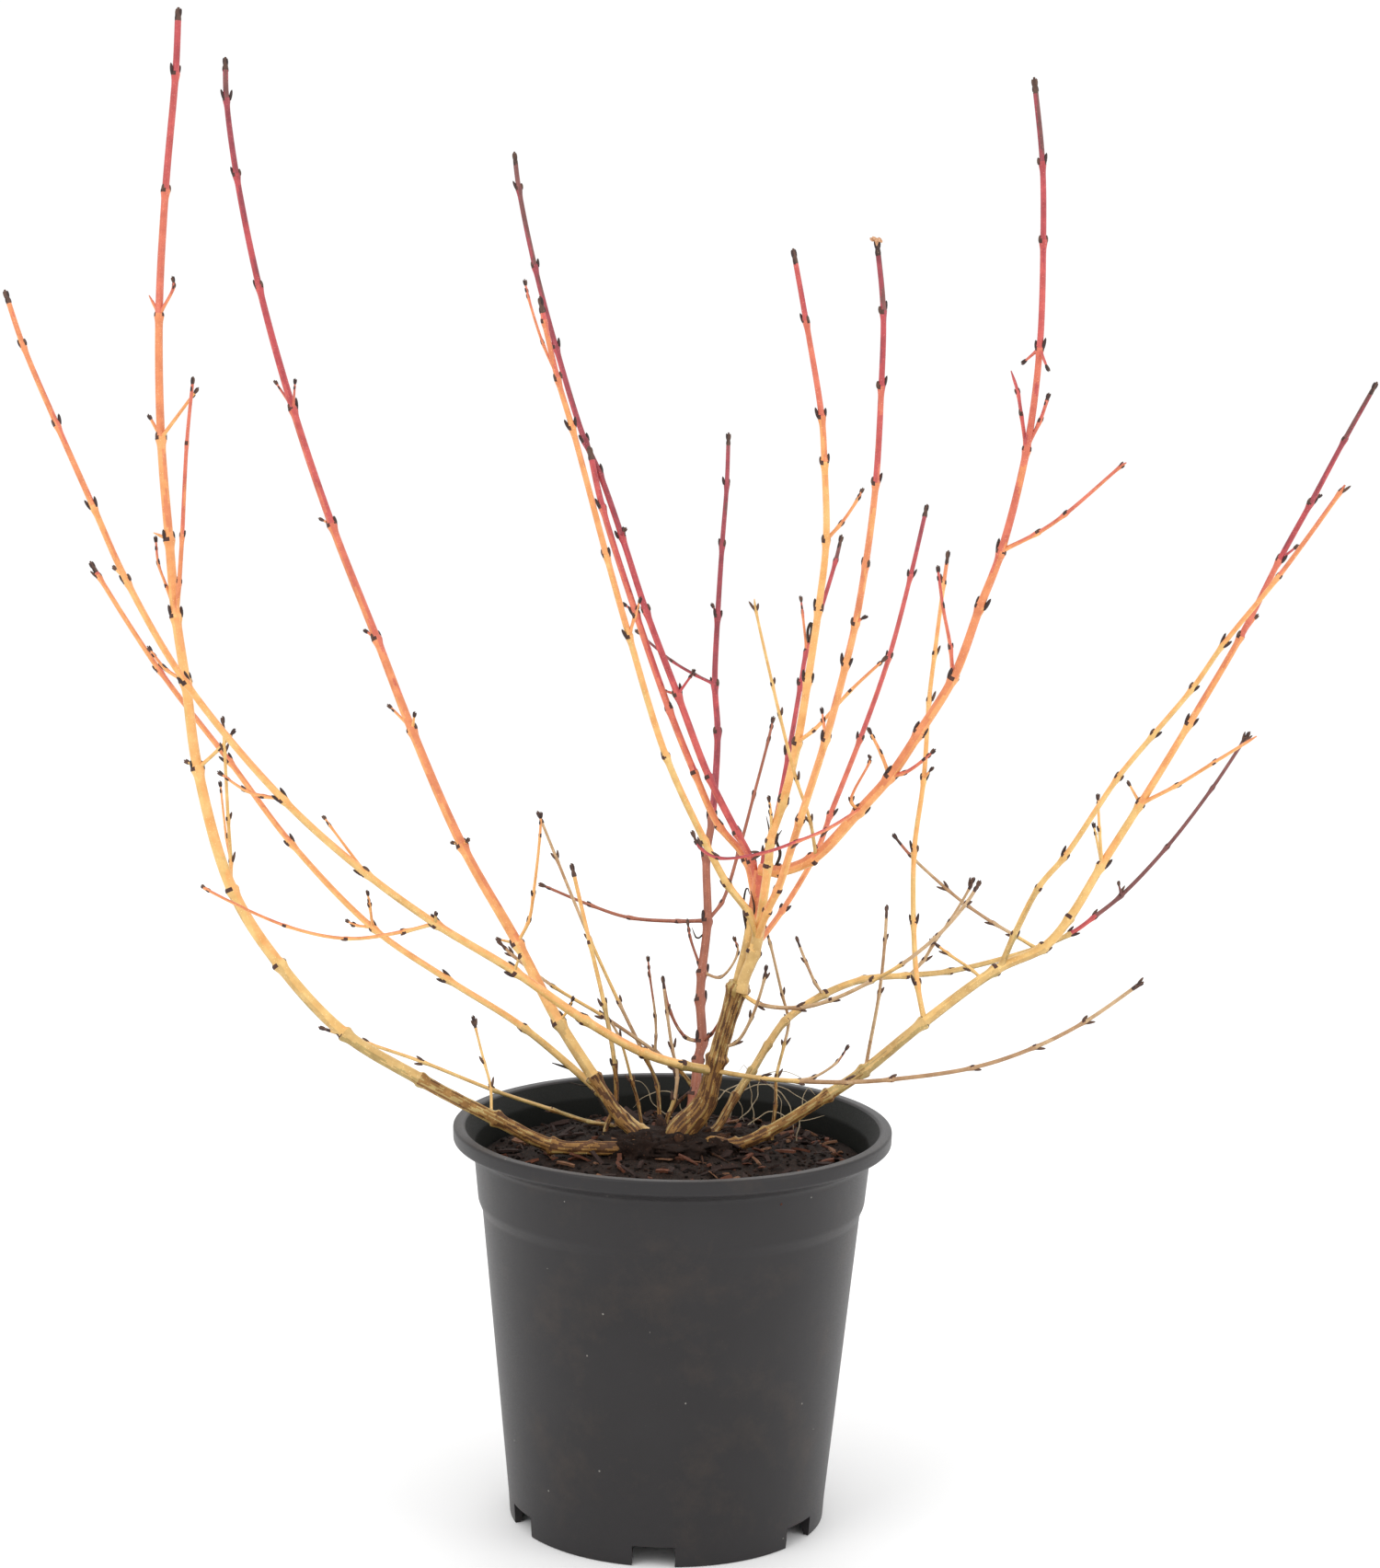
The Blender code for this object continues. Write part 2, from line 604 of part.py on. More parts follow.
def grow_left_side():
    """The canes that arch and lean to the left."""
    grow("left_arch", [(-30, -198), (-53.5, -198), (-75, -196.5), (-106.5, -181.5), (-147.5, -160),
                       (-188.5, -135), (-223.5, -97.5), (-249, -57), (-267.5, 8), (-274, 55),
                       (-279.5, 92), (-283, 132), (-287.5, 188.5), (-288.5, 256), (-285, 323.5),
                       (-279.5, 387), (-278, 422)],
         (-22, -24, -10, 20, 50, 70), (7.6, 7.2, 6.5, 6.1, 5.4, 4.9, 4.3, 3.9, 3.6),
         boughs=[("low", 5), ("rise", 8)], colour="orange",
         twigs=[(8, 6, 2.2, (-275, 13)), (8, -12, 2.2, (-255, 20), (-247, 30)),
                (9, 10, 2.2, (-285, 62.5), (-295, 75)),
                (10, -16, 2.6, (-277.5, 111), (-276, 135), (-273.5, 185), (-270, 221.5)),
                (10, 14, 1.8, (-285, 108.5), (-289, 120), (-290.5, 135)),
                (11, 8, 2.2, (-291.5, 136.5)), (12, 10, 2.2, (-294.5, 201)),
                (12, -14, 2.2, (-267, 215.5)), (13, 6, 2.2, (-294, 265.5)),
                (13, -8, 2.0, (-280.5, 270.5), (-281.5, 276))])
    grow("tall_left", [(-37.5, -181.5), (-52.5, -159), (-71.5, -129), (-94, -86), (-123.5, -34),
                       (-151, 29), (-170.5, 79.5), (-194.5, 140.5), (-216, 204.5), (-234, 269.5),
                       (-246.5, 331), (-252, 373), (-252.5, 395)],
         (10, 50, 110, 150, 170), (7.4, 6.0, 5.2, 4.7, 4.3, 3.7, 3.1), foot=(-26, 4),
         boughs=[("bough", 2)], colour="red",
         twigs=[(2, -8, 1.6, (-66.5, -123), (-63, -115)),
                (3, -14, 2.0, (-87.5, -74), (-85, -59), (-81.5, -27.5), (-81, -15)),
                (3, 8, 1.8, (-106, -84)), (4, 6, 1.8, (-130.5, -31.5)), (4, -6, 1.8, (-119.5, -29.5)),
                (5, 12, 2.0, (-164.5, 43.5)), (5, -6, 1.8, (-149.5, 39.5)),
                (6, 6, 2.0, (-177.5, 84)), (7, 6, 1.8, (-202, 144.5)),
                (8, 12, 1.8, (-226, 219.5)), (8, -10, 1.6, (-214.5, 220.5))])
    grow("far_left", [(10, -155), (-5, -152.5), (-26.5, -145.5), (-58.5, -127.5), (-96, -101.5),
                      (-139, -75.5), (-177.5, -47.5), (-222, -7.5), (-274, 55), (-306.5, 111),
                      (-324, 150), (-344, 195), (-362.5, 238.5), (-372.5, 268.5)],
         (-6, -50, -90, -80, -42), (5.3, 4.8, 4.1, 3.8, 3.4, 3.1, 2.7), parents=("trunk",),
         boughs=[("bough", 4)], colour="orange",
         twigs=[(4, -8, 1.8, (-92, -92)),
                (5, 20, 2.2, (-155, -80), (-186, -84), (-220, -77), (-264, -56.5), (-265.5, -55)),
                (5, -8, 1.8, (-138, -69)), (6, 10, 1.8, (-196.5, -21.5), (-199.5, -17)),
                (7, 14, 2.0, (-232.5, -6.5), (-242.5, -3), (-257, 7)), (9, 10, 1.8, (-314, 118.5))])
    grow("low_left", [(-26.5, -187.5), (-50, -166.5), (-91, -132), (-132, -106), (-172, -78.5),
                      (-216.5, -32.5), (-250, 12), (-288.5, 62), (-322, 114), (-326, 121)],
         (18, 60, 120, 150), (4.8, 3.8, 3.6, 3.3, 2.7), foot=(-17, 14),
         boughs=[("bough", 3)], colour="red",
         twigs=[(4, -8, 1.8, (-174, -66.5), (-175.5, -57.5)), (4, 10, 1.8, (-182.5, -76.5), (-187.5, -73.5))])
    grow("rim_shoot", [(-55, -183.5), (-75, -177), (-106.5, -166.5), (-145.5, -151), (-175, -141),
                       (-202, -132)],
         (34, 70), (2.4, 1.9), foot=(-38, 28), colour="yellow")
    grow("left_arch_shoots", [(-249.5, -55), (-249.5, -42.5), (-251, -19), (-253, 20), (-254, 37)],
         (12, -14), (2.2, 1.6), parents=("left_arch",), colour="yellow",
         twigs=[(1, 22, 1.6, (-252, -29), (-255.5, 2))])
    grow("left_arch_spur", [(-106.5, -180), (-108.5, -164), (-112, -150.5), (-117, -130.5), (-118, -125.5)],
         (-20, 6), (1.7, 1.3), parents=("left_arch",), colour="yellow")


def grow_middle():
    """The upright canes behind the trunk and on its left fork."""
    grow("middle", [(2.5, -169), (4.5, -149), (6.5, -140.5), (5.5, -116.5), (6.5, -102), (9.5, -74.5),
                    (9, -39), (12, -19), (15, 27.5), (13.5, 54.5), (15, 90.5), (17.5, 130),
                    (20, 162.5), (21, 191)],
         (30, 80, 120, 150), (6.0, 5.3, 4.5, 3.6, 3.0, 2.4), foot=(1, 24),
         boughs=[("bough", 2)], colour="red",
         twigs=[(2, -10, 2.0, (11.5, -136), (19, -124)),
                (2, 10, 2.2, (-2.5, -137.5), (-11, -123), (-15, -104)),
                (4, 8, 1.8, (4.5, -96.5), (0, -83), (-1.5, -73)),
                (4, -14, 1.8, (16.5, -105), (26, -91.5), (23.5, -82.5)),
                (5, 20, 2.4, (-7.5, -74.5), (-33.5, -72.5), (-55, -65.5), (-82.5, -54)),
                (5, 26, 2.2, (17.5, -64), (26.5, -36.5), (35, -5), (42.5, 23.5), (45.5, 37)),
                (9, 14, 2.0, (2.5, 59.5), (-10, 67), (-30, 84)), (10, 6, 1.6, (11.5, 98.5))])
    fork = ("left_fork",)
    grow("right_arch", [(40, -48.5), (50, -47), (67.5, -40), (92.5, -14), (109, 4.5), (125, 28.5),
                        (143.5, 58.5), (157.5, 96), (169, 126), (183, 182), (190, 236), (192, 295.5),
                        (191.5, 338), (187, 384)],
         (2, -30, -60, -80, -60), (6.2, 5.6, 4.9, 4.2, 3.5, 3.1, 2.8), parents=fork,
         boughs=[("low", 3)], colour="red",
         twigs=[(3, -14, 1.8, (87.5, -9), (97.5, 12), (97.5, 16)),
                (4, 12, 2.2, (104, 16), (96.5, 31)), (4, -16, 2.2, (117.5, 6.5), (127.5, 13.5), (133.5, 19)),
                (6, 14, 2.2, (141.5, 74.5), (137.5, 96), (134.5, 119)),
                (8, -24, 2.4, (190, 137), (204.5, 147), (234, 172.5), (237, 174.5)),
                (9, 12, 2.2, (180, 201), (178, 213.5), (174.5, 224.5)),
                (9, -10, 2.2, (190.5, 198), (194, 208.5), (195, 212.5)),
                (10, 8, 1.8, (180, 228)), (10, -8, 1.8, (195, 224))])
    grow("red_spire", [(36.4, -55), (33, -41), (25, -25.5), (10, 4.5), (-6.5, 48), (-24, 94.5),
                       (-37, 134.5), (-49, 168.5), (-57.5, 187.5), (-73, 238), (-84.5, 282),
                       (-93, 323.5), (-95.5, 343.5)],
         (4, 30, 70, 110), (4.2, 3.8, 3.4, 3.1, 2.7), parents=fork,
         boughs=[("bough", 4)], colour="red",
         twigs=[(4, 10, 1.8, (-15, 51)), (4, -8, 1.6, (1, 59.5), (2.5, 62.5)), (6, -6, 1.6, (-34.5, 139.5))])
    grow("orange_spire", [(34.5, -63), (30, -40.5), (15, -21.5), (2.5, 6), (-11.5, 41), (-29.5, 93),
                          (-47.5, 150), (-55, 183.5)],
         (12, 20, 40, 60), (4.0, 3.8, 3.4), parents=("left_fork",),
         boughs=[("bough", 5)], colour="orange", twigs=[(5, 8, 1.8, (-37, 98.5))])
    grow("slim_spire", [(37, -52), (41, -38), (46, -21.5), (53.5, 16), (60, 53.5), (63.5, 73), (71.5, 96),
                        (79.5, 122.5), (82.5, 135.5)],
         (10, 40, 80), (3.0, 2.7, 2.2), parents=fork, colour="red",
         twigs=[(5, 8, 1.6, (61, 94.5), (60, 102.5))])
    fork = ("right_fork",)
    grow("front_spire", [(36.4, -83), (31.5, -69.5), (20, -54), (7.5, -30), (-13, 15), (-33, 80),
                         (-45.5, 124.5), (-64, 193.5), (-72, 220.5), (-79.5, 253), (-81.5, 265)],
         (-10, -60, -110, -140), (4.2, 3.6, 3.2, 2.6), parents=fork,
         boughs=[("bough", 5)], colour="orange",
         twigs=[(5, -8, 1.8, (-30, 91), (-26.5, 102)), (8, 14, 1.6, (-80, 239.5), (-88, 265), (-90, 274.5))])
    grow("centre_spire", [(39.5, -76), (42.5, -44), (44, -30), (51, -8.5), (58.5, 23), (64, 56), (70, 96),
                          (74, 132.5), (73, 176), (71.5, 200), (63, 252), (56, 291)],
         (-4, -30, -60, -80), (4.8, 4.6, 3.8, 3.3, 2.7), parents=fork,
         boughs=[("bough", 2)], colour="orange",
         twigs=[(2, -10, 1.8, (44, -16.5), (42.5, -6)),
                (4, -24, 2.2, (68, 30), (87.5, 51), (107.5, 69.5)),
                (7, 14, 2.0, (82.5, 142), (91.5, 155.5), (94, 161))])
    grow("forward_spire", [(36.6, -84), (42, -69), (48, -56.5), (60, -19), (74, 25), (85, 66),
                           (90, 87.5), (95.5, 119.5), (101, 163.5), (104, 216), (105, 257.5),
                           (101.5, 296)],
         (-10, -80, -150, -190), (4.4, 4.1, 3.6, 3.1, 2.6), parents=("right_fork",),
         boughs=[("bough", 4)], colour="orange",
         twigs=[(4, 8, 1.6, (72.5, 33.5), (71.5, 42)), (6, -6, 1.6, (96.5, 91.5))])
    grow("back_spire", [(38.5, -90), (51, -67.5), (69, -36.5), (76.5, -16), (92.5, 24.5), (108.5, 70),
                        (120, 113.5), (129, 152)],
         (0, 86, 154, 190), (3.4, 3.1, 2.9, 2.5), parents=fork, colour="red")
    grow("pale_shoot", [(67.5, -38), (65, -19), (57.5, 3.5), (48.5, 38.5), (44.5, 55.5), (35.5, 96),
                        (35, 100.5)],
         (-16, -50, -90), (2.0, 1.8, 1.4), parents=("right_arch",), colour="yellow")
    grow("cross_twig", [(92.5, -12), (73.5, -25), (57.5, -31.5), (37.5, -38), (14.5, -40), (5, -34),
                        (1, -25)],
         (-28, -60, -50), (2.1, 1.5), parents=("right_arch",), colour="red")


def grow_right_side():
    """The canes that lean and arch to the right."""
    grow("right_cane", [(25, -196), (42.5, -189), (75, -169), (95, -155.5), (126.5, -130), (167, -100.5),
                        (192.5, -88.5), (206.5, -72.5), (223.5, -44.5), (245, -10.5), (271.5, 33),
                        (299.5, 80.5), (320.5, 122), (337, 152), (356, 187.5), (373.5, 218.5)],
         (-8, 10, 40, 30, -14), (6.8, 6.3, 5.8, 5.3, 4.5, 3.8, 3.4, 3.0, 2.4), foot=(14, -8),
         boughs=[("low", 5), ("rise", 8)], colour="orange",
         twigs=[(8, -10, 2.0, (222.5, -24), (221.5, -5)), (8, 14, 1.8, (219, -20.5)),
                (9, -20, 2.4, (265, -0.5), (284.5, 11.5), (308, 26)), (9, 8, 1.8, (237.5, 2)),
                (11, 6, 1.8, (309, 92.5)), (12, 6, 1.8, (331, 130)), (13, 6, 1.6, (343.5, 157.5))])
    grow("outer_cane", [(168, -99), (176.5, -81.5), (190, -55.5), (204, -39), (233, 4), (252.5, 27.5),
                        (273.5, 52.5), (290, 76), (320.5, 113.5), (354, 159.5), (356, 162.5)],
         (20, -20, -60, -80), (3.6, 3.1, 2.8, 2.6, 2.3), parents=("right_cane",),
         boughs=[("bough", 3)], colour="yellow")
    grow("low_right", [(12.5, -189), (25, -169), (34, -155.5), (42.5, -141.5), (52.5, -128), (73.5, -114),
                       (95, -106), (118, -104), (142.5, -101.5), (189, -89), (206.5, -81.5), (220, -72),
                       (235, -60), (259, -34.5), (284, -2), (301, 23.5), (304.5, 28.5)],
         (16, 70, 110, 130, 150), (5.0, 4.4, 4.2, 3.4, 2.8, 2.5, 2.2, 2.0), foot=(9, 11),
         boughs=[("bough", 5), ("run", 10)], colour="brown", twigs=[(12, -6, 1.6, (232.5, -52.5))])
    grow("upright_shoot", [(126.5, -128), (123.5, -108), (121.5, -75), (122, -35), (127, 2.5), (130, 46),
                           (133, 71), (138, 109.5), (140.5, 127)],
         (14, 30, 60), (3.1, 2.7, 2.1), parents=("right_cane",), colour="orange",
         twigs=[(4, -6, 1.6, (132.5, 9.5))])
    grow("short_shoot", [(94, -154), (97, -145.5), (103, -113), (106, -84.5), (107, -65.5)],
         (8, -40), (2.1, 1.7), parents=("right_cane",), colour="yellow")
    grow("little_shoot", [(157.5, -104), (152.5, -100.5), (140, -92), (130, -84)],
         (20, 30), (1.9, 1.5), parents=("right_cane",), colour="yellow")
    grow("hook_shoot", [(72.5, -114), (68, -108), (62.5, -95.5), (57.5, -82.5)],
         (60, 80), (1.9, 1.5), parents=("low_right",), colour="yellow")
    grow("reaching_shoot", [(187.5, -88), (176, -82), (164, -75), (150, -65.5), (139.5, -57), (120, -39),
                            (110, -27)],
         (118, 100), (2.2, 1.7), parents=("low_right",), colour="red")
    grow("curved_shoot", [(119, -103), (127.5, -95), (132.5, -86.5), (141.5, -74), (152.5, -55.5),
                          (154.5, -50.5)],
         (96, 70), (2.1, 1.6), parents=("low_right",), colour="red")
    grow("long_whip", [(18, -157), (40, -160), (60, -161.5), (85, -162), (110, -160.5), (154.5, -154),
                       (187.5, -143), (215, -129), (244, -109), (246.5, -107.5)],
         (-6, -70, -130, -180), (2.7, 2.3, 1.9), parents=("trunk",), colour="yellow",
         twigs=[(2, -8, 1.6, (68, -159), (79.5, -151.5), (86.5, -141.5))])
    grow("curved_whip", [(28, -113), (37.5, -119.5), (59.5, -121.5), (77.5, -117), (99, -107), (115, -98),
                         (135, -82), (150, -65), (158, -52.5)],
         (-6, -60, -120), (2.4, 1.9), parents=("trunk",), colour="yellow")


def grow_suckers():
    """Thin young shoots that stand round the foot of the clump."""
    suckers = {
        "left_sucker": ((-14, 44), [(-18, -163), (-23.5, -150), (-38.5, -119), (-54.5, -84), (-72.5, -40.5),
                                    (-83, -14.5)], (54, 90), (2.4, 1.7)),
        "outer_sucker": ((-44, 20), [(-40.5, -171.5), (-41, -152.5), (-46.5, -120.5), (-54.5, -86),
                                     (-64.5, -43)], (26, 60), (2.8, 2.2)),
        "fine_sucker": ((-24, 36), [(-28.5, -172), (-31.5, -161.5), (-38.5, -137.5), (-47, -123)],
                        (40, 44), (1.8, 1.5)),
        "right_sucker": ((49, 18), [(46.5, -174), (47, -159), (51, -142.5), (53.5, -129), (50, -114),
                                    (43.5, -86.5), (40.5, -76.5)], (22, 60, 46), (2.0, 1.6)),
    }
    for name, (foot, spots, away, girth) in suckers.items():
        grow(name, spots, away, girth, foot=foot, colour="yellow")
    grow("curled_sucker", [(-13, -184), (-11, -178), (-8.5, -171), (-7, -158), (-10, -142), (-12.5, -124),
                           (-15, -104)],
         (28, 46), (2.2, 1.6), foot=(-11, 27), colour="yellow",
         twigs=[(1, 4, 2.2, (-5, -171.5), (3, -164.5))])
    grow("crossing_sucker", [(0, -162.5), (-7.5, -154), (-19.5, -145), (-47.5, -126), (-75, -109.5),
                             (-97, -92.5), (-105, -84.5)],
         (44, 60, 76), (2.4, 1.8), foot=(12, 42), colour="orange",
         twigs=[(2, -6, 1.6, (-18.5, -136.5), (-19, -125), (-22, -103), (-23, -93))])
    grow("trunk_shoot", [(22, -144), (25, -140.5), (33.5, -127), (40.5, -105.5), (41.5, -98)],
         (-4, -30), (2.0, 1.6), parents=("trunk",), colour="orange")


clear_scene()
make_pot()
make_soil()
grow_trunk()
grow_left_side()
grow_middle()
grow_right_side()
grow_suckers()
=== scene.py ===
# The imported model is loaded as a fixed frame. A pot with its plant stands on a plain pale floor in
# soft studio light, and the camera is where the photograph was taken from.
import json
import math
import random

import bmesh
import bpy
import numpy as np
from mathutils import Matrix, Vector, noise


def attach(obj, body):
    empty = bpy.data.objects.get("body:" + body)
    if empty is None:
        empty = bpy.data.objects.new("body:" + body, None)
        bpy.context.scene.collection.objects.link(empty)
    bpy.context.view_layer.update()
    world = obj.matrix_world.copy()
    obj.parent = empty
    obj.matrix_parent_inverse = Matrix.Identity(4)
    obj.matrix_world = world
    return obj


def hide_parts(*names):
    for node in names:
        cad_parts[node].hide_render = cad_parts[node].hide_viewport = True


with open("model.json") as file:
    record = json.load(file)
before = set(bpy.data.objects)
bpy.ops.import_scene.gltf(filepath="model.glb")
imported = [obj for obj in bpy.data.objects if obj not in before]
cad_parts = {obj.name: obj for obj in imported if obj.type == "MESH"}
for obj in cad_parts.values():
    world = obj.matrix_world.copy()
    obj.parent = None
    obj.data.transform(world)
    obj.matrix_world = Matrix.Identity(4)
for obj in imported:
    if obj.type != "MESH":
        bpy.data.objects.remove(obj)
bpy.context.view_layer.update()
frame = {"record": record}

MM = 0.001
EYE = Vector((0.0, -1.712, 0.660))
PITCH = math.radians(8.285)
ROLL = math.radians(-1.0)
FOCAL_PIXELS = 3460.0
PHOTO_HEIGHT = 1704.0
SENSOR = 36.0
FORWARD = Vector((0.0, math.cos(PITCH), -math.sin(PITCH)))
LEVEL_UP = Vector((0.0, math.sin(PITCH), math.cos(PITCH)))
LEVEL_RIGHT = Vector((1.0, 0.0, 0.0))
RIGHT = LEVEL_RIGHT * math.cos(ROLL) - LEVEL_UP * math.sin(ROLL)
UP = LEVEL_RIGHT * math.sin(ROLL) + LEVEL_UP * math.cos(ROLL)

lens = bpy.data.cameras.new("camera")
lens.lens = FOCAL_PIXELS / PHOTO_HEIGHT * SENSOR
lens.sensor_width = SENSOR
lens.clip_end = 30.0
camera = bpy.data.objects.new("camera", lens)
camera.matrix_world = Matrix((
    (RIGHT.x, UP.x, -FORWARD.x, EYE.x),
    (RIGHT.y, UP.y, -FORWARD.y, EYE.y),
    (RIGHT.z, UP.z, -FORWARD.z, EYE.z),
    (0.0, 0.0, 0.0, 1.0),
))
bpy.context.collection.objects.link(camera)
bpy.context.scene.camera = camera

SKY_STRENGTH = 1.04
sky = bpy.data.worlds.new("studio")
sky.use_nodes = True
background = sky.node_tree.nodes["Background"]
background.inputs["Color"].default_value = (1.0, 1.0, 1.0, 1.0)
background.inputs["Strength"].default_value = SKY_STRENGTH
bpy.context.scene.world = sky
bpy.context.scene.view_settings.view_transform = "Standard"


def softbox(name, place, aim, size, watts):
    """A rectangular studio light at a place, turned to face its aim."""
    light = bpy.data.lights.new(name, "AREA")
    light.shape = "RECTANGLE"
    light.size, light.size_y = size
    light.energy = watts
    box = bpy.data.objects.new(name, light)
    turn = (Vector(place) - Vector(aim)).to_track_quat("Z", "Y").to_matrix().to_4x4()
    box.matrix_world = Matrix.Translation(place) @ turn
    bpy.context.collection.objects.link(box)


softbox("key_light", (-1.5, -1.6, 2.2), (0.0, 0.0, 0.35), (1.4, 1.4), 18.0)
softbox("side_light", (1.9, -0.9, 1.1), (0.0, 0.0, 0.25), (1.0, 1.6), 9.0)
softbox("back_light", (0.4, 2.2, 1.9), (0.0, 0.0, 0.35), (1.6, 1.2), 9.0)


def paint(code):
    """A colour given as it shows on a screen, as the shader's linear red, green and blue."""
    shown = [int(code[place:place + 2], 16) / 255.0 for place in (0, 2, 4)]
    return tuple(s / 12.92 if s <= 0.04045 else ((s + 0.055) / 1.055) ** 2.4 for s in shown)


FLOOR_RADIUS = 9.0
FLOOR_DROP = 0.0002
FLOOR_WHITE = 0.985
floor_shape = bmesh.new()
bmesh.ops.create_circle(floor_shape, cap_ends=True, segments=96, radius=FLOOR_RADIUS)
bmesh.ops.translate(floor_shape, vec=(0.0, 0.0, -FLOOR_DROP), verts=floor_shape.verts)
floor_mesh = bpy.data.meshes.new("floor")
floor_shape.to_mesh(floor_mesh)
floor_shape.free()
floor = bpy.data.objects.new("floor", floor_mesh)
floor_paint = bpy.data.materials.new("floor_paint")
floor_paint.use_nodes = True
floor_shader = floor_paint.node_tree.nodes["Principled BSDF"]
floor_shader.inputs["Base Color"].default_value = (FLOOR_WHITE, FLOOR_WHITE, FLOOR_WHITE, 1.0)
floor_shader.inputs["Roughness"].default_value = 0.9
floor_mesh.materials.append(floor_paint)
bpy.context.collection.objects.link(floor)


# The pot is a round nursery container, injection moulded in one piece from charcoal black
# polypropylene, with a rolled rim, a wide collar, six feet and drain slots in its raised floor.
POT_CENTRE = Vector((-0.0063, 0.0, 0.0))
POT_SIDES = 192
RIM_RADIUS = 0.1210
RIM_HEIGHT = 0.2215
RIM_BAND = 0.0080
RIM_NECK = 0.0060
RIM_OVERHANG = 0.0040
RIM_UNDERCUT = 0.0015
RIM_EASE = 0.0002
LIP_DROP = 0.0004
LIP_DISH = 0.0003
LIP_INNER_RADIUS = 0.1150
LEDGE_DEPTH = 0.0105
LEDGE_FLARE = 0.0004
COLLAR_TOP_RADIUS = 0.1095
COLLAR_FOOT_RADIUS = 0.1068
COLLAR_FOOT_HEIGHT = 0.1800
WALL_TOP_RADIUS = 0.1044
WALL_TOP_HEIGHT = 0.1740
WALL_FOOT_RADIUS = 0.0885
WALL_THICKNESS = 0.0014
FLOOR_UNDERSIDE = 0.0115
FLOOR_THICKNESS = 0.0016
FOOT_OUTER_RADIUS = 0.0877
FOOT_INNER_RADIUS = 0.0845
FOOT_ROOT_RADIUS = 0.0815
FOOT_COUNT = 6
FOOT_GAP_DEGREES = 15.0
FIRST_FOOT_GAP_DEGREES = -94.0
FOOT_GAP_REACH = 0.030
FOOT_GAP_CEILING = 0.0002
DRAIN_SLOT = (0.007, 0.014, 0.040)
DRAIN_SLOT_RADIUS = 0.0700
# margin below the lip and in from the wall where the painted shade on the inner wall begins
SHADED_WALL_EDGE = 0.004
DUST = {"scale": 26.0, "range": (0.52, 0.86), "share": 0.16, "colour": "6A5644"}
MOTES = {"scale": 62.0, "size": 0.032, "share": 0.5, "colour": "A8A49C"}


def rounded(corners, steps=5):
    """A profile of radii and heights with each corner rounded over its own length."""
    points = []
    for index, (radius, height, fillet) in enumerate(corners):
        corner = Vector((radius, height))
        if not fillet:
            points.append(corner)
            continue
        before = Vector(corners[index - 1][:2]) - corner
        after = Vector(corners[index + 1][:2]) - corner
        start = corner + before.normalized() * min(fillet, before.length * 0.45)
        end = corner + after.normalized() * min(fillet, after.length * 0.45)
        for step in range(steps):
            t = step / (steps - 1)
            points.append(start * (1 - t) ** 2 + corner * 2 * t * (1 - t) + end * t ** 2)
    return points


def turned(name, profile, sides):
    """Spins a profile of radii and heights round the pot's axis into a closed mesh."""
    shape = bmesh.new()
    corners = [shape.verts.new(POT_CENTRE + Vector((r, 0.0, z))) for r, z in profile]
    edges = [shape.edges.new(pair) for pair in zip(corners, corners[1:])]
    bmesh.ops.spin(shape, geom=corners + edges, cent=POT_CENTRE, axis=(0.0, 0.0, 1.0),
                   angle=math.tau, steps=sides, use_merge=True)
    bmesh.ops.remove_doubles(shape, verts=shape.verts, dist=0.000001)
    bmesh.ops.recalc_face_normals(shape, faces=shape.faces)
    mesh = bpy.data.meshes.new(name)
    shape.to_mesh(mesh)
    shape.free()
    return mesh


def stand(name, mesh, nodes, sharp=40.0):
    """Puts a finished mesh in the scene in place of the nodes that it stands for."""
    mesh.shade_smooth()
    mesh.set_sharp_from_angle(angle=math.radians(sharp))
    piece = bpy.data.objects.new(name, mesh)
    bpy.context.collection.objects.link(piece)
    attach(piece, "root")
    if nodes:
        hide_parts(*nodes)
    return piece


def wired(tree, kind, links=(), **settings):
    """A node with its settings, and its inputs either set or linked."""
    node = tree.nodes.new(kind)
    for key, value in settings.items():
        setattr(node, key, value)
    for socket, value in links:
        if isinstance(value, bpy.types.NodeSocket):
            tree.links.new(value, node.inputs[socket])
        else:
            node.inputs[socket].default_value = value
    return node


def sum_of(tree, operation, first, second):
    """One sum with two values."""
    links = [(0, first), (1, second)]
    return wired(tree, "ShaderNodeMath", links, operation=operation).outputs[0]


def ramp(tree, factor, low, high, first=0.0, last=1.0):
    """Maps a value from low to high onto the stretch from first to last."""
    links = [(0, factor), (1, low), (2, high), (3, first), (4, last)]
    return wired(tree, "ShaderNodeMapRange", links).outputs[0]


def blended(tree, factor, first, second):
    """Mixes two colours by a factor."""
    links = [(0, factor), (6, first), (7, second)]
    return wired(tree, "ShaderNodeMix", links, data_type="RGBA").outputs[2]


def cloudy(tree, place, scale, detail, rough):
    """Soft noise at a place."""
    links = [("Vector", place), ("Scale", scale), ("Detail", detail), ("Roughness", rough)]
    return wired(tree, "ShaderNodeTexNoise", links).outputs[0]


def dots(tree, place, scale, size):
    """Scattered round dots, as one where there is a dot and nought elsewhere."""
    cells = wired(tree, "ShaderNodeTexVoronoi", [("Vector", place), ("Scale", scale)]).outputs[0]
    return sum_of(tree, "LESS_THAN", cells, size)


SPECKLE_INPUTS = {
    "Colour": (0.5, 0.5, 0.5, 1.0), "Shade": (0.3, 0.3, 0.3, 1.0), "Speck": (0.7, 0.7, 0.7, 1.0),
    "Patch Scale": 60.0, "Grain Scale": 900.0, "Speck Scale": 500.0, "Speck Size": 0.12,
    "Dull": 0.6, "Gloss": 0.4,
}
PATCH_RANGE = (0.35, 0.75)
GRAIN_RANGE = (0.3, 0.7)
GRAIN_SHARE = 0.35
SPECK_SHARE = 0.75


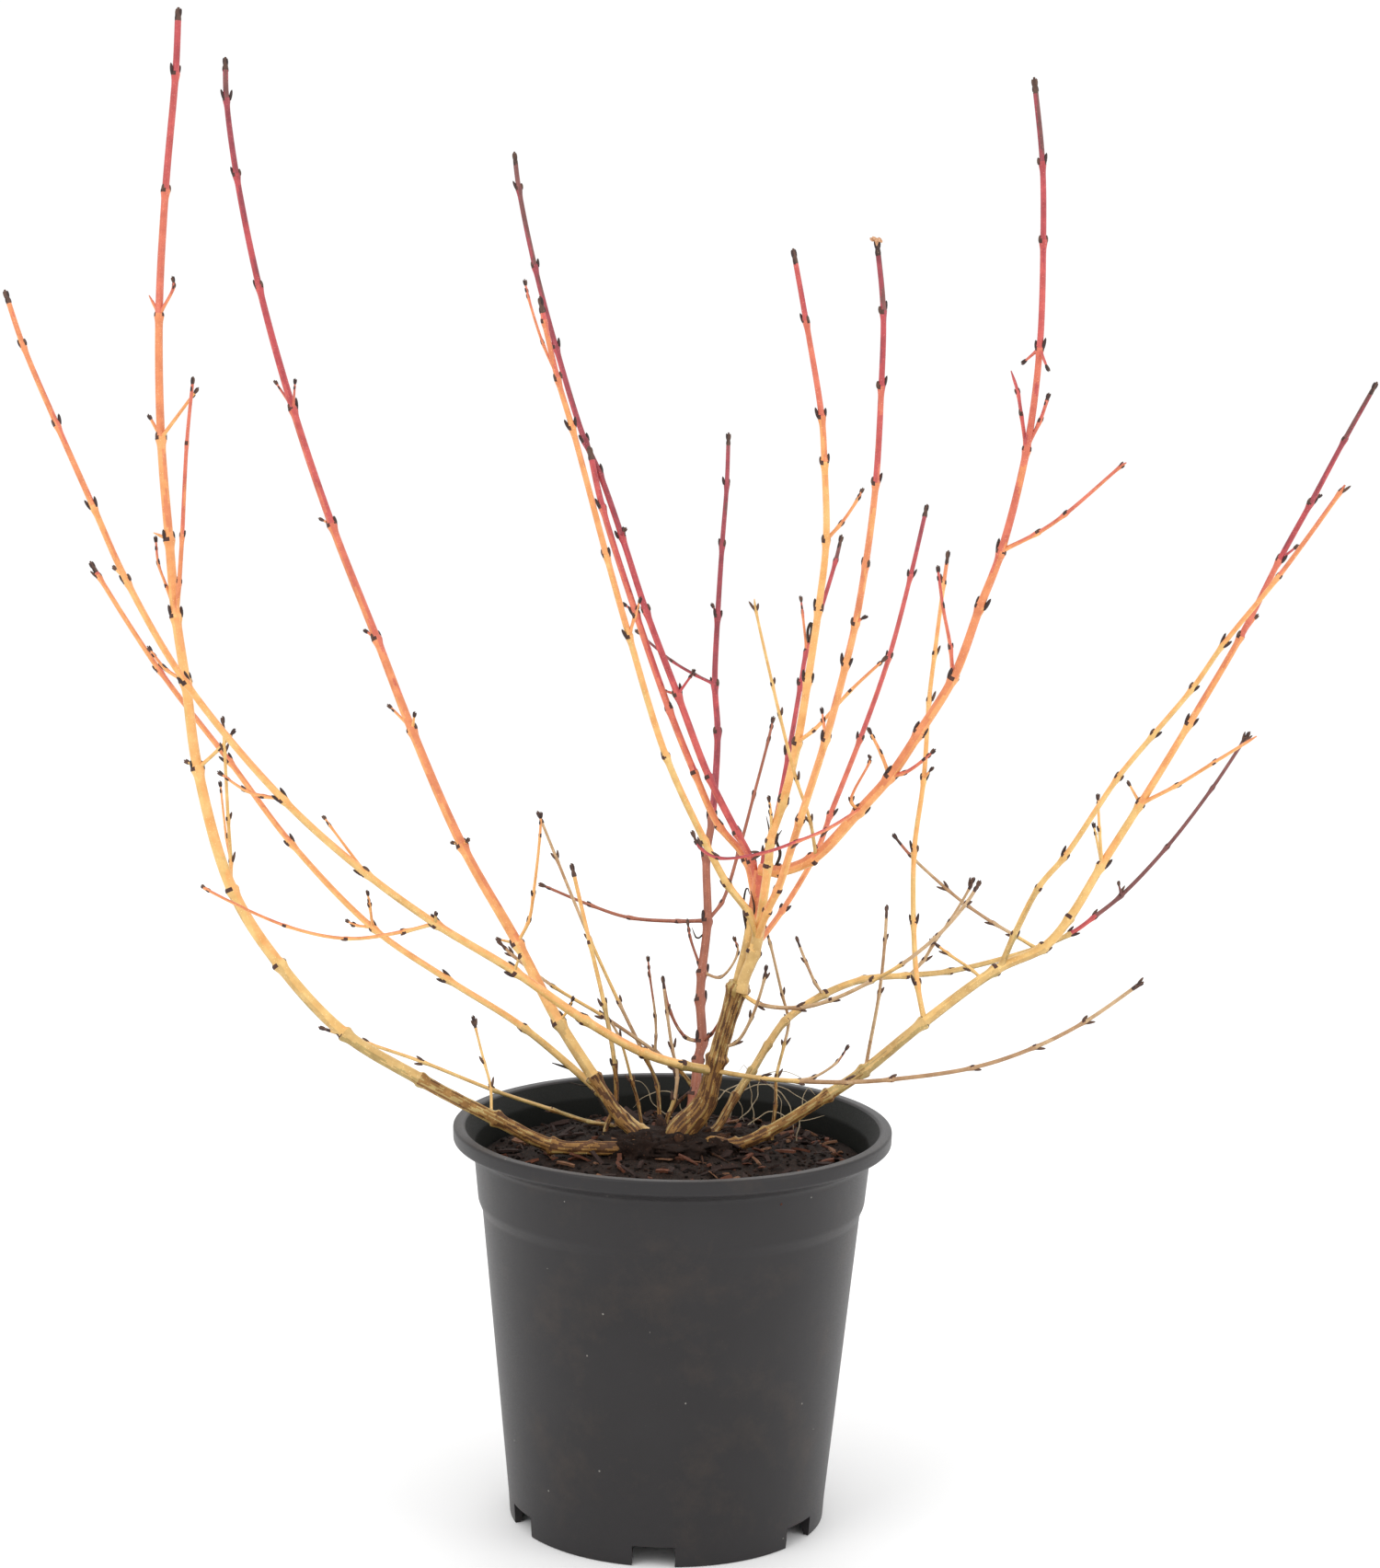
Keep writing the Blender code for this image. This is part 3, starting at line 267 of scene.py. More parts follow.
def speckle_group():
    """Uneven tone, fine specks and grain for any solid surface, told by its own coordinates."""
    group = bpy.data.node_groups.new("speckle", "ShaderNodeTree")
    sockets = group.interface
    for label, value in SPECKLE_INPUTS.items():
        kind = "NodeSocketColor" if isinstance(value, tuple) else "NodeSocketFloat"
        sockets.new_socket(label, in_out="INPUT", socket_type=kind).default_value = value
    sockets.new_socket("Colour", in_out="OUTPUT", socket_type="NodeSocketColor")
    for label in ("Roughness", "Height"):
        sockets.new_socket(label, in_out="OUTPUT", socket_type="NodeSocketFloat")
    given = group.nodes.new("NodeGroupInput").outputs
    put = group.nodes.new("NodeGroupOutput").inputs
    place = wired(group, "ShaderNodeTexCoord").outputs["Object"]
    patches = cloudy(group, place, given["Patch Scale"], 3.0, 0.6)
    grain = cloudy(group, place, given["Grain Scale"], 4.0, 0.65)
    speck = dots(group, place, given["Speck Scale"], given["Speck Size"])
    uneven = ramp(group, patches, *PATCH_RANGE)
    shaded = blended(group, uneven, given["Colour"], given["Shade"])
    grained = sum_of(group, "MULTIPLY", grain, GRAIN_SHARE)
    mottled = blended(group, grained, shaded, given["Shade"])
    specked = sum_of(group, "MULTIPLY", speck, SPECK_SHARE)
    tone = blended(group, specked, mottled, given["Speck"])
    rough = ramp(group, grain, *GRAIN_RANGE, given["Gloss"], given["Dull"])
    group.links.new(tone, put["Colour"])
    group.links.new(rough, put["Roughness"])
    group.links.new(grain, put["Height"])
    return group


speckle = speckle_group()


def finish_of(name, colour, shade, speck, relief, specular=0.5, coat=0.0, **values):
    """A material whose tone, gloss and grain come from the speckle group."""
    made = bpy.data.materials.new(name)
    made.use_nodes = True
    tree = made.node_tree
    shader = tree.nodes["Principled BSDF"]
    shader.inputs["Specular IOR Level"].default_value = specular
    shader.inputs["Coat Weight"].default_value = coat
    shader.inputs["Coat Roughness"].default_value = 0.35
    skin = wired(tree, "ShaderNodeGroup", node_tree=speckle)
    for label, value in (("Colour", colour), ("Shade", shade), ("Speck", speck)):
        skin.inputs[label].default_value = (*paint(value), 1.0)
    for label, value in values.items():
        skin.inputs[label.replace("_", " ").title()].default_value = value
    tree.links.new(skin.outputs["Colour"], shader.inputs["Base Color"])
    tree.links.new(skin.outputs["Roughness"], shader.inputs["Roughness"])
    links = [("Height", skin.outputs["Height"]), ("Distance", relief), ("Strength", 1.0)]
    bump = wired(tree, "ShaderNodeBump", links)
    tree.links.new(bump.outputs[0], shader.inputs["Normal"])
    return made


def boxes(name, rows):
    """One mesh of upright boxes, each given by its reach from the pot's axis, size and turn."""
    shape = bmesh.new()
    for reach, size, turn in rows:
        made = bmesh.ops.create_cube(shape, size=1.0)["verts"]
        bmesh.ops.scale(shape, vec=size, verts=made)
        bmesh.ops.translate(shape, vec=(reach, 0.0, 0.0), verts=made)
        spin = Matrix.Rotation(turn, 3, "Z")
        bmesh.ops.rotate(shape, cent=(0.0, 0.0, 0.0), matrix=spin, verts=made)
        bmesh.ops.translate(shape, vec=POT_CENTRE, verts=made)
    mesh = bpy.data.meshes.new(name)
    shape.to_mesh(mesh)
    shape.free()
    return mesh


def applied(target):
    """The mesh of an object with its modifiers applied."""
    graph = bpy.context.evaluated_depsgraph_get()
    return bpy.data.meshes.new_from_object(target.evaluated_get(graph))


floor_top = FLOOR_UNDERSIDE + FLOOR_THICKNESS
wall_rise = (floor_top - FLOOR_UNDERSIDE) / (WALL_TOP_HEIGHT - FLOOR_UNDERSIDE)
wall_at_floor = WALL_FOOT_RADIUS + (WALL_TOP_RADIUS - WALL_FOOT_RADIUS) * wall_rise
inner_wall = [
    (wall_at_floor - WALL_THICKNESS, floor_top),
    (WALL_TOP_RADIUS - WALL_THICKNESS, WALL_TOP_HEIGHT),
    (COLLAR_FOOT_RADIUS - WALL_THICKNESS, COLLAR_FOOT_HEIGHT),
    (COLLAR_TOP_RADIUS - WALL_THICKNESS, RIM_HEIGHT - LEDGE_DEPTH),
]
rim_foot = RIM_HEIGHT - RIM_BAND
pot_profile = rounded([
    (0.0, FLOOR_UNDERSIDE, 0.0),
    (FOOT_ROOT_RADIUS, FLOOR_UNDERSIDE, 0.001),
    (FOOT_INNER_RADIUS, 0.0, 0.0),
    (FOOT_OUTER_RADIUS, 0.0, 0.0006),
    (WALL_FOOT_RADIUS, FLOOR_UNDERSIDE, 0.003),
    (WALL_TOP_RADIUS, WALL_TOP_HEIGHT, 0.0012),
    (COLLAR_FOOT_RADIUS, COLLAR_FOOT_HEIGHT, 0.0014),
    (COLLAR_TOP_RADIUS, rim_foot - RIM_NECK, 0.0025),
    (RIM_RADIUS - RIM_OVERHANG, rim_foot - RIM_UNDERCUT, 0.0012),
    (RIM_RADIUS - RIM_EASE, rim_foot - RIM_EASE, 0.0014),
    (RIM_RADIUS, RIM_HEIGHT - LIP_DROP, 0.0016),
    (LIP_INNER_RADIUS, RIM_HEIGHT - LIP_DISH, 0.0014),
    (inner_wall[3][0] + LEDGE_FLARE, inner_wall[3][1], 0.0012),
    (inner_wall[2][0], inner_wall[2][1], 0.0015),
    (inner_wall[1][0], inner_wall[1][1], 0.0015),
    (inner_wall[0][0], inner_wall[0][1], 0.0020),
    (0.0, floor_top, 0.0),
])
pot_body = bpy.data.objects.new("pot_body", turned("pot_body", pot_profile, POT_SIDES))
bpy.context.collection.objects.link(pot_body)
gap_width = 2.0 * WALL_FOOT_RADIUS * math.sin(math.radians(FOOT_GAP_DEGREES / 2))
foot_gap = (FOOT_GAP_REACH, gap_width, 2 * (FLOOR_UNDERSIDE - FOOT_GAP_CEILING))
cuts = []
for index in range(FOOT_COUNT):
    turn = math.radians(FIRST_FOOT_GAP_DEGREES + index * 360.0 / FOOT_COUNT)
    cuts.append((WALL_FOOT_RADIUS, foot_gap, turn))
    cuts.append((DRAIN_SLOT_RADIUS, DRAIN_SLOT, turn))
cutter = bpy.data.objects.new("foot_gap_cutter", boxes("foot_gap_cutter", cuts))
bpy.context.collection.objects.link(cutter)
opened = pot_body.modifiers.new("foot gaps and drain slots", "BOOLEAN")
opened.operation = "DIFFERENCE"
opened.object = cutter
pot_mesh = applied(pot_body)
bpy.data.objects.remove(cutter, do_unlink=True)
bpy.data.objects.remove(pot_body, do_unlink=True)
pot_mesh.materials.clear()
charcoal = finish_of(
    "charcoal_plastic", "2A2829", "242223", "3C3836", 0.00006, specular=0.30, patch_scale=14.0,
    grain_scale=1600.0, speck_scale=260.0, speck_size=0.05, dull=0.5, gloss=0.34)
tree = charcoal.node_tree
plastic = tree.nodes["Principled BSDF"].inputs["Base Color"]
place = wired(tree, "ShaderNodeTexCoord").outputs["Object"]
smears = ramp(tree, cloudy(tree, place, DUST["scale"], 5.0, 0.7), *DUST["range"])
smeared = sum_of(tree, "MULTIPLY", smears, DUST["share"])
soiled = blended(tree, smeared, plastic.links[0].from_socket, (*paint(DUST["colour"]), 1.0))
motes = dots(tree, place, MOTES["scale"], MOTES["size"])
flecked = sum_of(tree, "MULTIPLY", motes, MOTES["share"])
dusted = blended(tree, flecked, soiled, (*paint(MOTES["colour"]), 1.0))
tree.links.new(dusted, plastic)
pot_mesh.materials.append(charcoal)
# Inner wall faces below the lip get a near-black, greenish material: painted shade for the shadow
# that falls inside the pot.
pot_mesh.materials.append(finish_of(
    "painted_shade_inner_wall", "0F120D", "090B08", "23261C", 0.00008, specular=0.25, patch_scale=30.0,
    grain_scale=1200.0, speck_scale=200.0, speck_size=0.06, dull=0.7, gloss=0.5))
for face in pot_mesh.polygons:
    out = Vector((face.center.x - POT_CENTRE.x, face.center.y, 0.0))
    below_lip = face.center.z < RIM_HEIGHT - SHADED_WALL_EDGE
    on_wall = out.length > WALL_FOOT_RADIUS - SHADED_WALL_EDGE
    if below_lip and on_wall and face.normal.dot(out) < -0.5 * out.length:
        face.material_index = 1
stand("nursery_pot", pot_mesh, ["pot"])


# The compost is dark peaty potting mix, heaped a little round the stems, with crumbs and chips of
# reddish bark lying loose on it.
SOIL_TOP = 0.2080
SOIL_EDGE = 0.1995
SOIL_LEVEL_RADIUS = 0.0600
SOIL_RINGS = 46
SOIL_SIDES = 168
STILL_EDGE = 0.0006
LUMPS = (70.0, 3.1, 0.9, 2.1, 5, 0.0016)
FINE_LUMPS = (330.0, 8.2, 0.8, 2.0, 3, 0.0007)
GAP = 0.0003
low, high = inner_wall[2], inner_wall[3]
edge_share = (SOIL_EDGE - low[1]) / (high[1] - low[1])
soil_edge_radius = low[0] + (high[0] - low[0]) * edge_share - GAP
soil_profile = [(0.0, floor_top + GAP), (inner_wall[0][0] - GAP, floor_top + GAP),
                (inner_wall[1][0] - GAP, inner_wall[1][1]), (low[0] - GAP, low[1])]


def soil_height(radius):
    """The level of the soil at a distance from the pot's axis, before its crumbs."""
    return float(np.interp(radius, [SOIL_LEVEL_RADIUS, soil_edge_radius], [SOIL_TOP, SOIL_EDGE]))


def soil_lump(x, y):
    """How far crumbs and hollows lift or sink the soil at a place."""
    return sum(size * noise.fractal(Vector((x * scale, y * scale, layer)), fade, gap, octaves)
               for scale, layer, fade, gap, octaves, size in (LUMPS, FINE_LUMPS))


for ring_number in range(SOIL_RINGS + 1):
    radius = soil_edge_radius * (1 - ring_number / SOIL_RINGS)
    soil_profile.append((radius, soil_height(radius)))
soil_mesh = turned("soil", soil_profile, SOIL_SIDES)
for corner in soil_mesh.vertices:
    reach = math.hypot(corner.co.x - POT_CENTRE.x, corner.co.y)
    if corner.co.z > SOIL_EDGE - 0.001 and reach < soil_edge_radius - STILL_EDGE:
        corner.co.z += soil_lump(corner.co.x, corner.co.y)
soil_mesh.materials.append(finish_of(
    "peat", "2A1C15", "170F0B", "4A3020", 0.0009, specular=0.25, patch_scale=130.0,
    grain_scale=700.0, speck_scale=420.0, speck_size=0.18, dull=0.98, gloss=0.8))
stand("potting_soil", soil_mesh, ["soil"], sharp=180.0)


def joined_copies(name, template, places, skins, choices):
    """One mesh of many copies of a small template, each put in its place by a matrix."""
    corners = np.array([v.co[:] for v in template.verts])
    faces = [[v.index for v in face.verts] for face in template.faces]
    turns = np.array([np.array(place) for place in places])
    spots = np.einsum("kij,vj->kvi", turns[:, :3, :3], corners) + turns[:, None, :3, 3]
    count = len(corners)
    rows = [[corner + copy * count for corner in face]
            for copy in range(len(places)) for face in faces]
    mesh = bpy.data.meshes.new(name)
    mesh.from_pydata(spots.reshape(-1, 3).tolist(), [], rows)
    for skin in skins:
        mesh.materials.append(skin)
    mesh.polygons.foreach_set("material_index", np.repeat(choices, len(faces)).astype(np.int32))
    template.free()
    return mesh


def on_soil(spot, lift, turn, tilt, size):
    """The place of a thing that lies on the soil, turned and tilted, with its own size."""
    ground = soil_height(math.hypot(spot[0] - POT_CENTRE.x, spot[1])) + soil_lump(*spot)
    return (Matrix.Translation((spot[0], spot[1], ground + lift)) @ Matrix.Rotation(turn, 4, "Z")
            @ Matrix.Rotation(tilt[0], 4, "X") @ Matrix.Rotation(tilt[1], 4, "Y")
            @ Matrix.Diagonal((*size, 1.0)))


LEAN_FADE = 0.11
CRUMBS = 1500
CRUMB_REACH = 0.1035
CRUMB_SIZE = (0.0010, 0.0042)
CRUMB_TILT = 0.6
BROWN_SHARE = 0.35
CHIPS = 330
CHIP_REACH = 0.098
CHIP_LIFT = 0.0012
CHIP_TILTS = (0.7, 0.5)
FORWARD_LEAN = (0.022, -0.052)
FORWARD_LENGTH = (0.005, 0.016)
OTHER_LENGTH = (0.003, 0.010)
CHIP_WIDTH_SHARE = (0.14, 0.42)
CHIP_THICKNESS = (0.0005, 0.0014)
CHIP_TONES = (0, 0, 1, 2, 2, 2, 2)


def spot_in_pot(chance, reach, lean=(0.0, 0.0)):
    """A random place on the soil, within a reach of its middle, drawn a little to one side."""
    turn = chance.uniform(0.0, math.tau)
    out = reach * math.sqrt(chance.random())
    pull = 1 - out / LEAN_FADE
    return (POT_CENTRE.x + out * math.cos(turn) + lean[0] * pull,
            out * math.sin(turn) + lean[1] * pull)


chance = random.Random("crumbs")
crumb = bmesh.new()
bmesh.ops.create_icosphere(crumb, subdivisions=1, radius=0.5)
crumb_places = []
for _ in range(CRUMBS):
    size = chance.uniform(*CRUMB_SIZE) * chance.uniform(0.5, 1.0)
    spot = spot_in_pot(chance, CRUMB_REACH)
    turn = chance.uniform(0, math.tau)
    tilt = [chance.uniform(-CRUMB_TILT, CRUMB_TILT) for _ in "xy"]
    across = size * chance.uniform(0.5, 1.0)
    tall = size * chance.uniform(0.4, 0.9)
    crumb_places.append(on_soil(spot, size * 0.15, turn, tilt, (size, across, tall)))
crumb_skins = [
    finish_of(name, *colours, 0.0004, specular=0.25, patch_scale=300.0, dull=0.98, gloss=0.8)
    for name, *colours in (("black_crumb", "1E1510", "120C09", "3A261A"),
                           ("brown_crumb", "38241A", "22150F", "5A3C28"))]
crumb_tones = np.array([chance.random() < BROWN_SHARE for _ in crumb_places], dtype=int)
crumbs = joined_copies("soil_crumbs", crumb, crumb_places, crumb_skins, crumb_tones)
stand("soil_crumbs", crumbs, [], sharp=180.0)

chance = random.Random("bark chips")
chip = bmesh.new()
bmesh.ops.create_cube(chip, size=1.0)
long_edges = [edge for edge in chip.edges if abs(edge.verts[0].co.x - edge.verts[1].co.x) > 0.5]
bmesh.ops.subdivide_edges(chip, edges=long_edges, cuts=2, use_grid_fill=True)
for corner in chip.verts:
    corner.co.z += 0.35 * math.cos(corner.co.x * 2.6) + 0.18 * corner.co.y
    corner.co.y *= 1.0 - 0.45 * abs(corner.co.x) ** 1.5 + 0.12 * math.sin(corner.co.x * 9.0)
chip_places = []
for number in range(CHIPS):
    forward = number % 3 != 0
    spot = spot_in_pot(chance, CHIP_REACH, FORWARD_LEAN if forward else (0.0, 0.0))
    length = chance.uniform(*(FORWARD_LENGTH if forward else OTHER_LENGTH))
    turn = chance.uniform(0, math.tau)
    tilt = [chance.uniform(-most, most) for most in CHIP_TILTS]
    across = length * chance.uniform(*CHIP_WIDTH_SHARE)
    size = (length, across, chance.uniform(*CHIP_THICKNESS))
    chip_places.append(on_soil(spot, CHIP_LIFT, turn, tilt, size))
chip_skins = [
    finish_of(name, *colours, 0.0004, specular=0.3, patch_scale=260.0, grain_scale=1300.0,
              dull=0.9, gloss=0.7)
    for name, *colours in (("red_chip", "6E402C", "4A2A1D", "946A4E"),
                           ("tan_chip", "8C6448", "5E4030", "B08C6C"),
                           ("dark_chip", "35211A", "211410", "5A3C2C"))]
chip_tones = np.array([chance.choice(CHIP_TONES) for _ in chip_places])
chips = joined_copies("bark_chips", chip, chip_places, chip_skins, chip_tones)
stand("bark_chips", chips, [], sharp=30.0)


# The old stem is brown, furrowed bark with golden crests. It stands on the clump's crown and its
# collar carries two limbs. Each cane is drawn as it shows from the front and then placed in depth.
BOARD = 1.730
CURVE_SAMPLES = 24
FINE_PITCH = 0.002
CHORD_TOLERANCE = 0.0004
FOOT_RISE = 0.003
FOOT_RISE_SHARE = 0.65
FOOT_HOLD = 0.015
ROOT_HOLD = 0.010
TIP_LENGTH = 0.005
TIP_SHARE = 0.4
CLEARANCE = 0.0012
YIELD_LENGTH = 0.030
YIELD_ROUNDS = 60
START_SEARCH = 0.060
CUT_ROUNDS = 14
CUT_RIM_POINTS = 12
BOUGH_STOP = 0.008
TWIG_TAPER = 0.7
SPUR_LENGTH = (0.0030, 0.0052)
SPUR_GIRTH = 0.0016
SPUR_TIP_SHARE = 0.6
SPUR_ROOT_SHARE = 0.3
SPUR_LEAN = math.radians(30)
SPUR_TURN = 0.6
SPUR_CHANCE = 0.62
SPUR_CLEARANCE = 0.0010
JOINT_SPAN = 0.002
standing = {}


def seen(across, up, away):
    """The point that shows at this place on the front drawing, this far behind the middle."""
    ray = FORWARD * BOARD + RIGHT * (across * MM) + UP * (up * MM)
    return np.array(EYE + ray * ((away * MM - EYE.y) / ray.y))


def in_depth(spots, away):
    """Places spots of the drawing in depth, with the given depths spread evenly along them."""
    run = np.cumsum([0.0] + [math.dist(a, b) for a, b in zip(spots, spots[1:])])
    depths = np.interp(run / run[-1], np.linspace(0.0, 1.0, len(away)), away)
    return [seen(*spot, depth) for spot, depth in zip(spots, depths)]


def smooth(points):
    """A centripetal Catmull-Rom curve through the points, sampled at an even fine pitch."""
    ends = [2 * points[0] - points[1], *points, 2 * points[-1] - points[-2]]
    dense = []
    for a, b, c, d in zip(ends, ends[1:], ends[2:], ends[3:]):
        t1 = math.sqrt(np.linalg.norm(b - a))
        t2 = t1 + math.sqrt(np.linalg.norm(c - b))
        t3 = t2 + math.sqrt(np.linalg.norm(d - c))
        t = np.linspace(t1, t2, CURVE_SAMPLES, endpoint=False)[:, None]
        ab = (t1 - t) / t1 * a + t / t1 * b
        bc = (t2 - t) / (t2 - t1) * b + (t - t1) / (t2 - t1) * c
        cd = (t3 - t) / (t3 - t2) * c + (t - t2) / (t3 - t2) * d
        abc = (t2 - t) / t2 * ab + t / t2 * bc
        bcd = (t3 - t) / (t3 - t1) * bc + (t - t1) / (t3 - t1) * cd
        dense.append((t2 - t) / (t2 - t1) * abc + (t - t1) / (t2 - t1) * bcd)
    dense = np.vstack([*dense, points[-1]])
    run = run_along(dense)
    count = max(3, round(run[-1] / FINE_PITCH) + 1)
    return at_run(dense, run, np.linspace(0.0, run[-1], count))


def run_along(path):
    steps = np.linalg.norm(np.diff(path, axis=0), axis=1)
    return np.concatenate([[0.0], np.cumsum(steps)])


def at_run(path, run, where):
    return np.stack([np.interp(where, run, path[:, axis]) for axis in range(3)], axis=-1)


def tapered(path, girth, tip=True):
    """Radii along a path, from diameters in millimetres spread evenly along it."""
    run = run_along(path)
    radii = np.interp(run / run[-1], np.linspace(0.0, 1.0, len(girth)), girth) * MM / 2
    if not tip:
        return radii
    to_tip = run[-1] - run
    return radii * np.interp(to_tip, [0.0, TIP_LENGTH], [TIP_SHARE, 1.0])


def on_limb(name, spot):
    """The point of a standing limb's middle line that shows nearest to a spot of the drawing."""
    path = standing[name][0]
    eye = np.array(EYE)
    sight = seen(*spot, 0.0) - eye
    sight /= np.linalg.norm(sight)
    offset = path - eye
    miss = offset - (offset @ sight)[:, None] * sight
    return path[np.linalg.norm(miss, axis=1).argmin()]


def outside(points, limb):
    """How far each point lies outside a limb with flat-cut ends, below zero inside it."""
    spots, radii = limb
    run = run_along(spots)
    step = np.diff(spots, axis=0)
    length = np.linalg.norm(step, axis=1)
    offset = points[:, None] - spots[None]
    share = np.einsum("pmk,mk->pm", offset[:, :-1], step) / length ** 2
    size = radii[:-1] + np.clip(share, 0.0, 1.0) * np.diff(radii)
    beside = np.linalg.norm(offset[:, :-1] - share[..., None] * step, axis=2) - size
    past = np.maximum(np.maximum(-share, share - 1.0), 0.0) * length
    beyond = np.hypot(past, np.maximum(beside, 0.0))
    ball = np.minimum(radii, np.minimum(run, run[-1] - run))
    joint = np.linalg.norm(offset, axis=2) - ball
    return np.minimum(np.where(past > 0.0, beyond, beside).min(axis=1), joint.min(axis=1))


def give_way(path, radii, ignored, held=0.0):
    """Bends a path clear of the limbs that stand already, along the lines of sight."""
    rooted = np.zeros(len(path), dtype=bool)
    for name in ignored:
        rooted |= outside(path, standing[name]) < radii
    rooted = np.cumprod(rooted).astype(bool)
    others = [limb for name, limb in standing.items() if name not in ignored]
    if not others:
        return path
    spots = np.vstack([limb[0] for limb in others])
    sizes = np.concatenate([limb[1] for limb in others])
    corner, far_corner = path.min(0) - YIELD_LENGTH, path.max(0) + YIELD_LENGTH
    near = np.all((spots > corner) & (spots < far_corner), axis=1)
    spots, sizes = spots[near], sizes[near]
    if not len(spots):
        return path
    run = run_along(path)
    loose = np.clip(run / held, 0.0, 1.0) if held else np.ones(len(run))
    for _ in range(YIELD_ROUNDS):
        apart = np.linalg.norm(path[:, None] - spots[None], axis=2)
        overlap = radii[:, None] + sizes[None] + CLEARANCE - apart
        overlap[rooted] = -1.0
        here, there = np.unravel_index(overlap.argmax(), overlap.shape)
        if overlap[here, there] <= 0.0:
            break
        sight = path[here] - np.array(EYE)
        sight /= np.linalg.norm(sight)
        side = 1.0 if np.dot(path[here] - spots[there], sight) >= 0.0 else -1.0
        swell = np.clip(np.abs(run - run[here]) / YIELD_LENGTH, 0.0, 1.0)
        swell = (0.5 + 0.5 * np.cos(math.pi * swell)) * loose
        path = path + swell[:, None] * sight * side * (overlap[here, there] + GAP)
    return path


def ring(path, radius, index):
    """The rim and middle of the flat cut across a path at one of its points."""
    ahead = path[min(index + 1, len(path) - 1)] - path[max(index - 1, 0)]
    axis = Vector(ahead).normalized()
    side = axis.orthogonal().normalized()
    other = axis.cross(side)
    turns = np.linspace(0.0, math.tau, CUT_RIM_POINTS)
    around = [side * math.cos(turn) + other * math.sin(turn) for turn in turns]
    return np.array([path[index]] + [path[index] + radius * np.array(way) for way in around])


def stands_clear(path, radii, parents):
    """Whether a path's flat start is clear of its parents, and its side of their flat ends."""
    for limb in (standing[name] for name in parents):
        flat_end = ring(limb[0], limb[1][-1], len(limb[0]) - 1)
        if outside(ring(path, radii[0], 0), limb).min() < GAP:
            return False
        if outside(flat_end, (path, radii)).min() < GAP:
            return False
    return True


def cut_back(path, radii, where):
    """A path without its first points, cut at a place between two of them."""
    steps = np.arange(len(path), dtype=float)
    kept = int(where) + 1
    spot = at_run(path, steps, np.array([where]))
    radius = np.interp(where, steps, radii)
    return np.vstack([spot, path[kept:]]), np.concatenate([[radius], radii[kept:]])


def trim_start(path, radii, parents):
    """Cuts a path's start back until it stands clear of the limbs that it grows from."""
    last = min(len(path) - 3, int(START_SEARCH / FINE_PITCH))
    clear = [stands_clear(path[index:], radii[index:], parents) for index in range(last + 1)]
    if all(clear):
        return path, radii
    blocked = max(index for index in range(last + 1) if not clear[index])
    low, high = float(blocked), blocked + 1.0
    for _ in range(CUT_ROUNDS):
        middle = (low + high) / 2
        if stands_clear(*cut_back(path, radii, middle), parents):
            high = middle
        else:
            low = middle
    if high > blocked + 0.999:
        return path[blocked + 1:], radii[blocked + 1:]
    return cut_back(path, radii, high)


def thinned(path, radii, tolerance, level=False):
    """Drops the points that a straight chord and an even taper can do without."""
    kept = [0, 1] if level else [0]
    while kept[-1] < len(path) - 1:
        first = kept[-1]
        reach = first + 1
        for end in range(first + 2, len(path)):
            share = run_along(path[first:end + 1])
            share = share / share[-1]
            chord = share[:, None] * (path[end] - path[first])
            stray = np.linalg.norm(path[first:end + 1] - path[first] - chord, axis=1)
            even = np.interp(share, [0, 1], [radii[first], radii[end]])
            uneven = np.abs(even - radii[first:end + 1]).max()
            if stray.max() > tolerance or uneven > tolerance / 2:
                break
            reach = end
        kept.append(reach)
    return path[kept], radii[kept]


def refined(path, radii):
    """The same thinned path with points added at the fine pitch, for tests of what is near."""
    run = run_along(path)
    where = np.union1d(run, np.arange(FINE_PITCH, run[-1] - FINE_PITCH / 2, FINE_PITCH))
    return at_run(path, run, where), np.interp(where, run, radii)


# colours of bark from the foot of an old stem to the tip of a young one
TONES = ["bark", "golden_bark", "khaki", "straw", "yellow", "amber", "apricot", "orange", "coral",
         "rose", "red", "crimson", "maroon", "scar", "dry", "fawn", "pale_fawn", "russet"]
BARK_COLOURS = {
    "bark": ("6A4526", "3C2411", "94693C"),
    "golden_bark": ("A67C42", "70481F", "CDA365"),
    "khaki": ("BAA264", "92733C", "DDC58E"),
    "straw": ("DCB876", "B58E50", "ECD49E"),
    "yellow": ("EDC880", "D3A058", "F8DCA2"),
    "amber": ("F6BE78", "DC9A52", "FAD59C"),
    "apricot": ("F3AC6C", "D68A4E", "F9C894"),
    "orange": ("EA9560", "C87048", "F3B48C"),
    "coral": ("E07A5E", "BA5744", "EBA088"),
    "rose": ("D25E58", "A6403E", "E0867E"),
    "red": ("C24C50", "943238", "D4766F"),
    "crimson": ("A6444E", "7A2A34", "C06C68"),
    "maroon": ("86504C", "5C3230", "A0685E"),
    "scar": ("5A3A30", "38231E", "7C5648"),
    "dry": ("664A3E", "412E28", "8C7060"),
    "fawn": ("BC966E", "946E4C", "D6B690"),
    "pale_fawn": ("D2B28A", "AC8A62", "E6CEAC"),
    "russet": ("AE6A50", "844A38", "C88E72"),
}
OLD_LOOK = {"specular": 0.35, "dull": 0.72, "gloss": 0.5}
YOUNG_LOOK = {"specular": 0.45, "coat": 0.12, "dull": 0.55, "gloss": 0.36}
bark_skins = []
for name in TONES:
    furrowed = name in ("bark", "golden_bark", "scar", "dry")
    ending = "_skin" if name in ("scar", "dry") else "_cane_skin"
    bark_skins.append(finish_of(
        name + ending, *BARK_COLOURS[name], 0.00025 if furrowed else 0.00010,
        patch_scale=120.0, grain_scale=1500.0, speck_scale=650.0, speck_size=0.16,
        **(OLD_LOOK if furrowed else YOUNG_LOOK)))
SCAR_TONE = TONES.index("scar")
DRY_TONE = TONES.index("dry")
